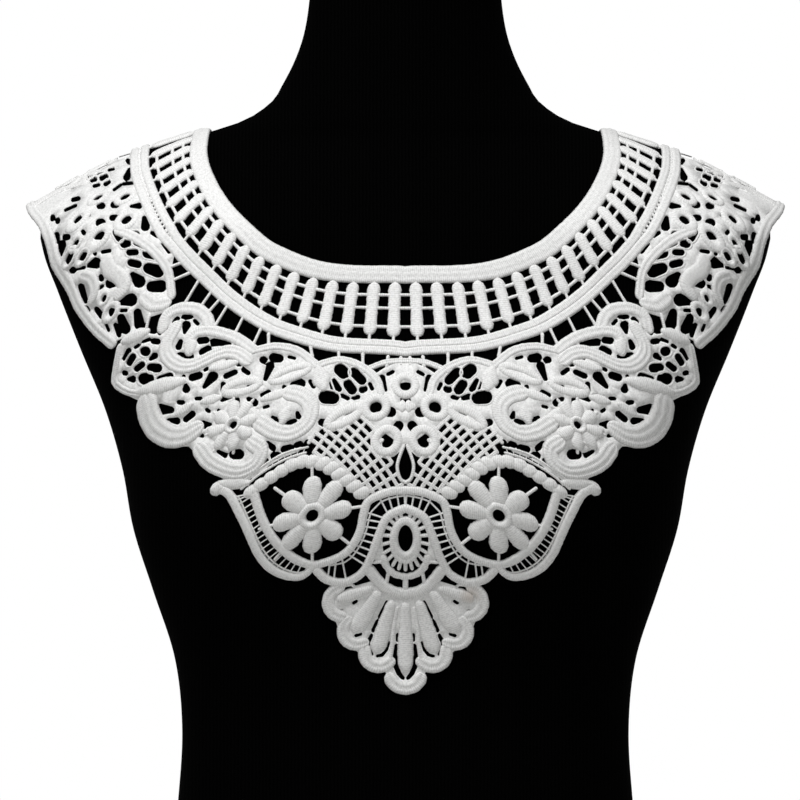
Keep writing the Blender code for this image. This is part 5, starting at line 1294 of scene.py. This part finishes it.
def build_brides(cloth, material):
    """Brides that tie the motifs, and the windows cut between the motifs with their fine rims."""
    threads = Threads(cloth, "lace_brides")
    threads.brides(BRIDES)
    threads.windows(WINDOWS)
    threads.windows(RIMMED_WINDOWS, rimmed=True)
    for rows, rimmed in ((SHOULDER_WINDOWS, False), (RIMMED_SHOULDER_WINDOWS, True)):
        threads.windows(rows, rimmed=rimmed)
    for rows, rimmed in ((SHOULDER_WINDOWS, False), (RIMMED_SHOULDER_WINDOWS, True)):
        behind = [row for row in rows if min(row[1], row[4]) > BACK_WINDOWS_ABOVE]
        threads.windows(behind, BACK, rimmed)
    return threads.piece(material)


def build_scrolls(cloth, material):
    """Ridged scrolls and scallops, with the leaves and pads between them."""
    threads = Threads(cloth, "lace_scrolls")
    threads.cords(SCROLLS)
    for leaf in LEAVES:
        threads.leaf(leaf)
    for leaf in SLIT_LEAVES:
        threads.slit_leaf(leaf)
    return threads.piece(material)


def build_flowers(cloth, material):
    """The daisies, the rings of the centre flower and its teardrop."""
    threads = Threads(cloth, "lace_flowers")
    for daisy in DAISIES:
        threads.flower(cloth.find(daisy.centre), *daisy[2:])
    for ring in RINGS:
        threads.ring(ring, 1.9)
    threads.lay(threads.route(TEARDROP), 0.5 * TEARDROP_RIM, rounded(), 1.5)
    return threads.piece(material)


def build_shoulders(cloth, material):
    """Flowers, rings, cords and the rim over both shoulders, from the front over the ridge to the back."""
    threads = Threads(cloth, "lace_shoulders")
    for side in (FRONT, BACK):
        threads.cords([cord for cord in SHOULDER_CORDS if side == FRONT or on_shoulder(*cord.route)], side)
        for ring in SHOULDER_RINGS:
            threads.ring(ring, 1.6, side)
    front, back = ([cloth.find(point, side) for point in SHOULDER_RIM] for side in (FRONT, BACK))
    rim = smooth_line(front[::-1] + [CREST_TIP] + back)
    threads.lay(rim, 0.5 * RIM_WIDTH, ridged(2), 1.6, waver=0.12)
    threads.flower(np.array(CREST_CENTRE), *CREST_DAISY)
    inner = [cloth.find(point, BACK) for point in SHOULDER_INNER]
    inner += [cloth.find(point) for point in SHOULDER_INNER[::-1]]
    Threads.webs.append(np.vstack((rim, inner)))
    for turn in (np.arange(8) + 0.5) * 0.25 * math.pi:
        heading = np.array((math.cos(turn), math.sin(turn)))
        near, far = (np.array(CREST_CENTRE) + reach * heading for reach in CREST_WINDOWS)
        Threads.gaps.append(around(near, far, 0.9, 1.9)[:-1])
    return threads.piece(material)


def net_lines(cloth):
    """Arcs and rays of the centre net, cut off at its edge, as places on the front view."""
    edge = np.array(NET_EDGE)
    centre = np.array(NET_CENTRE)
    lines = []
    for reach in np.arange(NET_ARCS[0], NET_ARCS[1], NET_ARC_STEP):
        turns = np.radians(np.arange(NET_RAYS[0], NET_RAYS[1], 0.5))
        lines.append(centre + reach * np.stack((-np.cos(turns), np.sin(turns)), axis=-1))
    for turn in np.radians(np.arange(NET_RAYS[0], NET_RAYS[1], NET_RAY_STEP)):
        reach = np.arange(NET_ARCS[0], NET_ARCS[1], 1.0)[:, None]
        lines.append(centre + reach * np.array((-math.cos(turn), math.sin(turn))))
    runs = []
    for line in lines:
        inside = within(line, edge)
        start = None
        for k, within_edge in enumerate(list(inside) + [False]):
            if within_edge and start is None:
                start = k
            elif not within_edge and start is not None:
                if k - start > 2:
                    runs.append(line[max(start - 1, 0):k + 1])
                start = None
    return runs


def ladder_net(threads, outer, inner, width):
    """Rungs across the strip between two lines, and one thread along it."""
    length = np.linalg.norm(np.diff(outer, axis=0), axis=1).sum()
    sides = [np.array([at_share(line, share) for share in np.linspace(0.0, 1.0, 161)])
             for line in (outer, inner)]

    def rung(share):
        middle = 0.5 * (at_share(outer, share) + at_share(inner, share))
        return [side[np.argmin(np.linalg.norm(side - middle, axis=1))] for side in sides]

    ends = [rung(share) for share in np.linspace(0.02, 0.98, 25)]
    routes = [[near * (1.0 - RUNG_LINE) + far * RUNG_LINE for near, far in ends]]
    routes += [rung(share) for share in np.arange(0.5 * RUNG_PITCH, length, RUNG_PITCH) / length]
    for route in routes:
        threads.lay(route, 0.5 * width, rounded(5), 0.7, floor=GROUND_FLOOR + 0.2)


def build_nets(cloth, material):
    """The centre net, the sashes over the beads, and the rungs of the medallions' strips."""
    threads = Threads(cloth, "lace_nets")
    for line in net_lines(cloth):
        places = [cloth.find(point) for point in line[::2]]
        if len(places) > 1:
            threads.lay(smooth_line(places), 0.5 * NET_THREAD, ridged(2, groove=0.3), 1.2, waver=0.12)
    threads.cords(SASHES)
    upper, lower = (threads.route(sash.route) for sash in SASHES)
    for share in np.linspace(0.04, 0.96, 11):
        threads.lay((at_share(upper, share), at_share(lower, share)), 0.5 * FINE_THREAD, rounded(5), 0.8)
    outside, inside = (threads.route(cord.route) for cord in MEDALLION_CORDS[:2])
    strip, arch = (np.argmin(np.abs(inside[:, 0] - x)) for x in (STRIP_END, ARCH_FROM))
    ladder_net(threads, outside, inside[:strip], RUNG_THREADS[0])
    ladder_net(threads, inside[arch:], threads.route(ARCH_LOWER)[2:], RUNG_THREADS[1])
    return threads.piece(material)


def build_medallions(cloth, material):
    """Bands and beads of the medallions, the oval with its spokes, and the bowl under it."""
    threads = Threads(cloth, "lace_medallions")
    threads.cords(MEDALLION_CORDS)
    beads = threads.route(BEADS_ROUTE)
    for bead in np.linspace(0.0, 1.0, BEADS):
        spot = at_share(beads, bead)
        threads.lay((spot - (0.7, 0.0), spot, spot + (0.7, 0.0)), 0.5 * BEAD_SIZE, ridged(1, power=2.4), 1.8,
                    waver=0.25)
    threads.ring(OVAL_RIM, 1.8)
    threads.ring(CENTRE_OVAL, 1.9)
    threads.cord(OVAL_WEB, 4.0, 1, 1.4, waver=0.3)
    middle = cloth.find(CENTRE_OVAL.centre)
    for turn in np.linspace(0.0, 2.0 * math.pi, OVAL_SPOKES + 1)[:-1] + SPOKE_TURN:
        heading = np.array((math.cos(turn), math.sin(turn)))
        near, far = (middle + heading * reach for reach in (SPOKE_FROM, SPOKE_TO))
        if far[0] >= 0.0:
            threads.lay((near, far), SPOKE_HALF, rounded(), BRIDE_RISE)
    for tie in BOWL_TIES:
        threads.lay(threads.route(tie), 1.1, rounded(), 1.3)
    return threads.piece(material)


def build_fan(cloth, material):
    """The fan's scalloped rim, ridges and petals, and the ground between all front motifs."""
    threads = Threads(cloth, "lace_fan")
    for area in (WEB, FAN_WEB, OVAL_SIDE):
        loop = np.array([cloth.find(point) for point in area])
        loop[loop[:, 0] == 0.0, 0] = -OUT_OF_REACH
        Threads.webs.append(loop)
    for lobe, turns in zip(FAN_LOBES, FAN_TURNS):
        x, z = lobe.centre
        way = -lobe.radius if x == 0 else lobe.radius
        arc = [(x + way * math.cos(turn), z + lobe.radius * math.sin(turn))
               for turn in np.radians(np.linspace(*turns, 9))]
        if x == 0:
            arc[-1] = (0, arc[-1][1])
        threads.cord(arc, FAN_RIM, 2, BAND_RISE, waver=0.14)
    threads.cords(FAN_CORDS)
    for petal in FAN_PETALS:
        threads.petal(petal)
    return threads.piece(material)


def build_back(cloth, material):
    """A plain border of scallops with a daisy in each, tied to the outer band."""
    threads = Threads(cloth, "lace_back")
    for (x, z), reach in BACK_SCALLOPS:
        turns = np.linspace(math.pi, 2.0 * math.pi, 7)
        bowl = [(x + reach * math.cos(turn), z + reach * math.sin(turn)) for turn in turns]
        route = [(x - reach, band_height(x - reach))] + bowl + [(x + reach, band_height(x + reach))]
        threads.cord(route, BACK_BORDER_WIDTH, 2, BAND_RISE, side=BACK)
        threads.flower(cloth.find((x, z + 2.0), BACK), *BACK_DAISY)
        threads.brides([((x + lean, z + 12.0), (x + 1.2 * lean, band_height(x + lean)))
                        for lean in BACK_TIES], BACK)
    threads.cord(BACK_END_CORD, BACK_BORDER_WIDTH, 2, 1.6, side=BACK)
    threads.cord(BACK_END_BRIDE, BRIDE, 1, BRIDE_RISE, side=BACK)
    return threads.piece(material)


def build_ground(cloth, material):
    """The thin ground under all threads, cut through at every gap; its flat area in square metres."""
    field, xs, runs = ground_field(Threads.laid, Threads.webs, Threads.gaps)
    flat, faces = cut_ground(cloth, field, xs, runs)
    used = np.unique(faces)
    number = np.full(len(flat), -1)
    number[used] = np.arange(len(used))
    faces = number[faces]
    spots = flat[used]
    (ax, ay), (bx, by), (cx, cy) = (spots[faces[:, k]].T for k in range(3))
    doubled = (bx - ax) * (cy - ay) - (by - ay) * (cx - ax)
    faces = np.where((doubled > 0.0)[:, None], faces[:, ::-1], faces)
    area = 0.5 * np.abs(doubled).sum() * MM * MM
    count = len(used)
    inner = cloth.place(spots[:, 0], spots[:, 1], np.full(count, GROUND_FLOOR))
    outer = cloth.place(spots[:, 0], spots[:, 1], np.full(count, GROUND_FLOOR + GROUND_WALL))
    sides = np.concatenate((faces[:, :2], faces[:, 1:], faces[:, ::2][:, ::-1]))
    keys = sides[:, 0] * count + sides[:, 1]
    lone = ~np.isin(keys, sides[:, 1] * count + sides[:, 0])
    start, end = sides[lone].T
    front = np.column_stack((faces + count, faces[:, 2] + count))
    back = np.column_stack((faces[:, ::-1], faces[:, 0]))
    walls = np.stack((start, end, end + count, start + count), axis=-1)
    piece = mesh_piece("lace_ground", np.vstack((inner, outer)), np.vstack((front, back, walls)), material)
    return piece, area


@cache
def the_cloth():
    """The one cloth that all pieces share."""
    return Cloth()


def length(name, description, default, least):
    return bpy.props.FloatProperty(name=name, description=description, default=default, min=least,
                                   subtype="DISTANCE", unit="LENGTH")


def colour(name, description, code):
    return bpy.props.FloatVectorProperty(name=name, description=description, size=3, subtype="COLOR",
                                         min=0.0, max=1.0, default=srgb(code))


class LaceSizes(bpy.types.PropertyGroup):
    stitch: length("Stitch spacing", "Spacing of the cross rib drawn on the satin stitch", 0.0011, 0.0004)
    field_width: length("Field width", "Width that the camera sees at the lace", 0.44, 0.1)
    camera_distance: length("Camera distance", "From the camera to the lace", 9.0, 1.0)
    floor_size: length("Floor size", "Side of the square floor", 2.6, 1.0)


class LaceColours(bpy.types.PropertyGroup):
    thread: colour("Thread", "Colour of the white thread", "#f6f6f5")
    # darker thread colour: random flecks, and painted shade in the grooves of the stitch rib
    thread_fleck_and_groove_shade: colour("Thread shade", "Colour between the stitches", "#d6d6d5")
    # painted shade along the threads' edges, where a cord meets the ground
    painted_edge_shade: colour("Thread's edge", "Colour where a cord meets the ground", "#a9a9a8")
    stain: colour("Stain", "Colour of the faint brown mark on the fan", "#b39c88")
    cover: colour("Cover", "Colour of the form's black cover", "#010101")
    cover_light: colour("Cover's ribs", "Colour on the ribs of the black cover", "#030303")
    floor: colour("Floor", "Colour of the studio floor", "#c9c9c7")


def thread_finish(context, **kind):
    return stitched_thread(context.scene.lace_colours, context.scene.lace_sizes, **kind)


def shared_thread(context):
    name = "polyester_thread_satin_stitched"
    return bpy.data.materials.get(name) or thread_finish(context, name=name)


def ride_thread(piece):
    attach(piece, BODY)


def add_threads(context, build):
    """One piece of threads in the shared finish."""
    ride_thread(build(the_cloth(), shared_thread(context)))
    return {"FINISHED"}


class LACE_OT_form(bpy.types.Operator):
    """The smooth form under its black cover"""
    bl_idname = "lace.form"
    bl_label = "Dress form"

    def execute(self, context):
        form = build_form(knitted_cover(context.scene.lace_colours))
        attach(form, BODY)
        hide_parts("dress_form")
        return {"FINISHED"}


class LACE_OT_bands(bpy.types.Operator):
    """Neck band and outer band with their closing edges at the back"""
    bl_idname = "lace.bands"
    bl_label = "Neck band and outer band"

    def execute(self, context):
        return add_threads(context, build_bands)


class LACE_OT_ladder(bpy.types.Operator):
    """Pegs between the two bands, and the brides that tie them"""
    bl_idname = "lace.ladder"
    bl_label = "Ladder of pegs"

    def execute(self, context):
        return add_threads(context, build_ladder)


class LACE_OT_brides(bpy.types.Operator):
    """Fine brides that tie the motifs, and the rings of the open nets"""
    bl_idname = "lace.brides"
    bl_label = "Brides"

    def execute(self, context):
        return add_threads(context, build_brides)


class LACE_OT_scrolls(bpy.types.Operator):
    """Ridged scrolls, scallops, leaves and pads of the yoke"""
    bl_idname = "lace.scrolls"
    bl_label = "Scrolls and leaves"

    def execute(self, context):
        return add_threads(context, build_scrolls)


class LACE_OT_flowers(bpy.types.Operator):
    """Daisies of the yoke and the centre flower"""
    bl_idname = "lace.flowers"
    bl_label = "Flowers"

    def execute(self, context):
        return add_threads(context, build_flowers)


class LACE_OT_shoulders(bpy.types.Operator):
    """Flowers, rings, cords and rim over both shoulders"""
    bl_idname = "lace.shoulders"
    bl_label = "Shoulders"

    def execute(self, context):
        return add_threads(context, build_shoulders)


class LACE_OT_nets(bpy.types.Operator):
    """Lattice of the centre and the ladder nets of the medallions"""
    bl_idname = "lace.nets"
    bl_label = "Nets"

    def execute(self, context):
        return add_threads(context, build_nets)


class LACE_OT_medallions(bpy.types.Operator):
    """Bands, beads and centre oval of the medallions"""
    bl_idname = "lace.medallions"
    bl_label = "Medallions"

    def execute(self, context):
        return add_threads(context, build_medallions)


class LACE_OT_fan(bpy.types.Operator):
    """Petals, ridges and scalloped rim of the fan"""
    bl_idname = "lace.fan"
    bl_label = "Fan"

    def execute(self, context):
        material = thread_finish(context, name="polyester_thread_satin_stitched_marked", stained=True)
        ride_thread(build_fan(the_cloth(), material))
        return {"FINISHED"}


class LACE_OT_back(bpy.types.Operator):
    """Scallops and daisies of the back border"""
    bl_idname = "lace.back"
    bl_label = "Back border"

    def execute(self, context):
        return add_threads(context, build_back)


class LACE_OT_ground(bpy.types.Operator):
    """The thin ground under the threads"""
    bl_idname = "lace.ground"
    bl_label = "Lace ground"

    def execute(self, context):
        material = thread_finish(context, name="polyester_thread_ground", marked=False)
        ground, area = build_ground(the_cloth(), material)
        ride_thread(ground)
        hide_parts("collar_left", "collar_right")
        return {"FINISHED"}


class LACE_OT_stage(bpy.types.Operator):
    """Pale floor, soft light and the camera"""
    bl_idname = "lace.stage"
    bl_label = "Stage"

    def execute(self, context):
        sizes = context.scene.lace_sizes
        half = 0.5 * sizes.floor_size
        corners = np.array(((-half, -half, 0.0), (half, -half, 0.0), (half, half, 0.0), (-half, half, 0.0)))
        corners[:, 2] -= 0.2 * MM
        paper = studio_paper(context.scene.lace_colours)
        floor = mesh_piece("studio_floor", corners, np.array(((0, 1, 2, 3),)), paper)
        for name, at, size, power in LIGHTS:
            data = bpy.data.lights.new(name, "AREA")
            data.shape = "SQUARE"
            data.size = size
            data.energy = power
            lamp = bpy.data.objects.new(name, data)
            lamp.location = at
            lamp.rotation_euler = (Vector(LIGHT_AIM) - Vector(at)).to_track_quat("-Z", "Y").to_euler()
            context.scene.collection.objects.link(lamp)
        world = bpy.data.worlds.new("studio_white")
        world.use_nodes = True
        tree = world.node_tree
        way = add_node(tree, "ShaderNodeTexCoord").outputs["Generated"]
        rise = add_node(tree, "ShaderNodeSeparateXYZ", {"Vector": way}).outputs["Z"]
        ramp = add_node(tree, "ShaderNodeValToRGB", {"Fac": add_node(
            tree, "ShaderNodeMapRange", {"Value": rise, "From Min": -1.0}).outputs[0]})
        stops = ramp.color_ramp.elements
        while len(stops) < len(SKY):
            stops.new(0.5)
        for stop, (place, level) in zip(stops, SKY):
            stop.position = place
            stop.color = (level, level, level, 1.0)
        tree.links.new(ramp.outputs["Color"], tree.nodes["Background"].inputs["Color"])
        context.scene.world = world
        context.scene.view_settings.view_transform = "Standard"
        data = bpy.data.cameras.new("front_camera")
        data.sensor_width = SENSOR
        data.lens = SENSOR * sizes.camera_distance / sizes.field_width
        data.clip_end = 100.0
        camera = bpy.data.objects.new("front_camera", data)
        camera.location = (VIEW_CENTRE[0], LACE_DEPTH - sizes.camera_distance, VIEW_CENTRE[1])
        camera.rotation_euler = (math.radians(90.0), 0.0, 0.0)
        context.scene.collection.objects.link(camera)
        context.scene.camera = camera
        return {"FINISHED"}


class LACE_PT_panel(bpy.types.Panel):
    """Sizes, colours and the pieces of the collar"""
    bl_idname = "LACE_PT_panel"
    bl_label = "Lace collar"
    bl_space_type = "VIEW_3D"
    bl_region_type = "UI"
    bl_category = "Lace"

    def draw(self, context):
        for group in (context.scene.lace_sizes, context.scene.lace_colours):
            for name in group.__annotations__:
                self.layout.prop(group, name)
        for operator in OPERATORS:
            self.layout.operator(operator.bl_idname)


OPERATORS = (LACE_OT_form, LACE_OT_bands, LACE_OT_ladder, LACE_OT_brides, LACE_OT_scrolls, LACE_OT_flowers,
             LACE_OT_shoulders, LACE_OT_nets, LACE_OT_medallions, LACE_OT_fan, LACE_OT_back, LACE_OT_ground,
             LACE_OT_stage)
CLASSES = (LaceSizes, LaceColours) + OPERATORS + (LACE_PT_panel,)
LIGHTS = (
    ("key_above", (-0.3, -0.9, 1.75), 0.7, 25.5),
    ("fill_front", (0.6, -4.0, 1.0), 2.5, 2.0),
)
LIGHT_AIM = (0.0, 0.0, 0.33)
# The brightness of the surroundings, from below to above
SKY = ((0.0, 0.06), (0.46, 0.06), (0.475, 1.0), (0.525, 1.0), (0.54, 0.17), (1.0, 0.17))
SENSOR = 36.0         # in mm
VIEW_CENTRE = (-0.003, 0.3135)
LACE_DEPTH = -0.075


def register():
    for kind in CLASSES:
        bpy.utils.register_class(kind)
    bpy.types.Scene.lace_sizes = bpy.props.PointerProperty(type=LaceSizes)
    bpy.types.Scene.lace_colours = bpy.props.PointerProperty(type=LaceColours)


def unregister():
    del bpy.types.Scene.lace_colours
    del bpy.types.Scene.lace_sizes
    for kind in reversed(CLASSES):
        bpy.utils.unregister_class(kind)


def main():
    register()
    for operator in OPERATORS:
        group, name = operator.bl_idname.split(".")
        getattr(getattr(bpy.ops, group), name)()


if __name__ == "__main__":
    main()
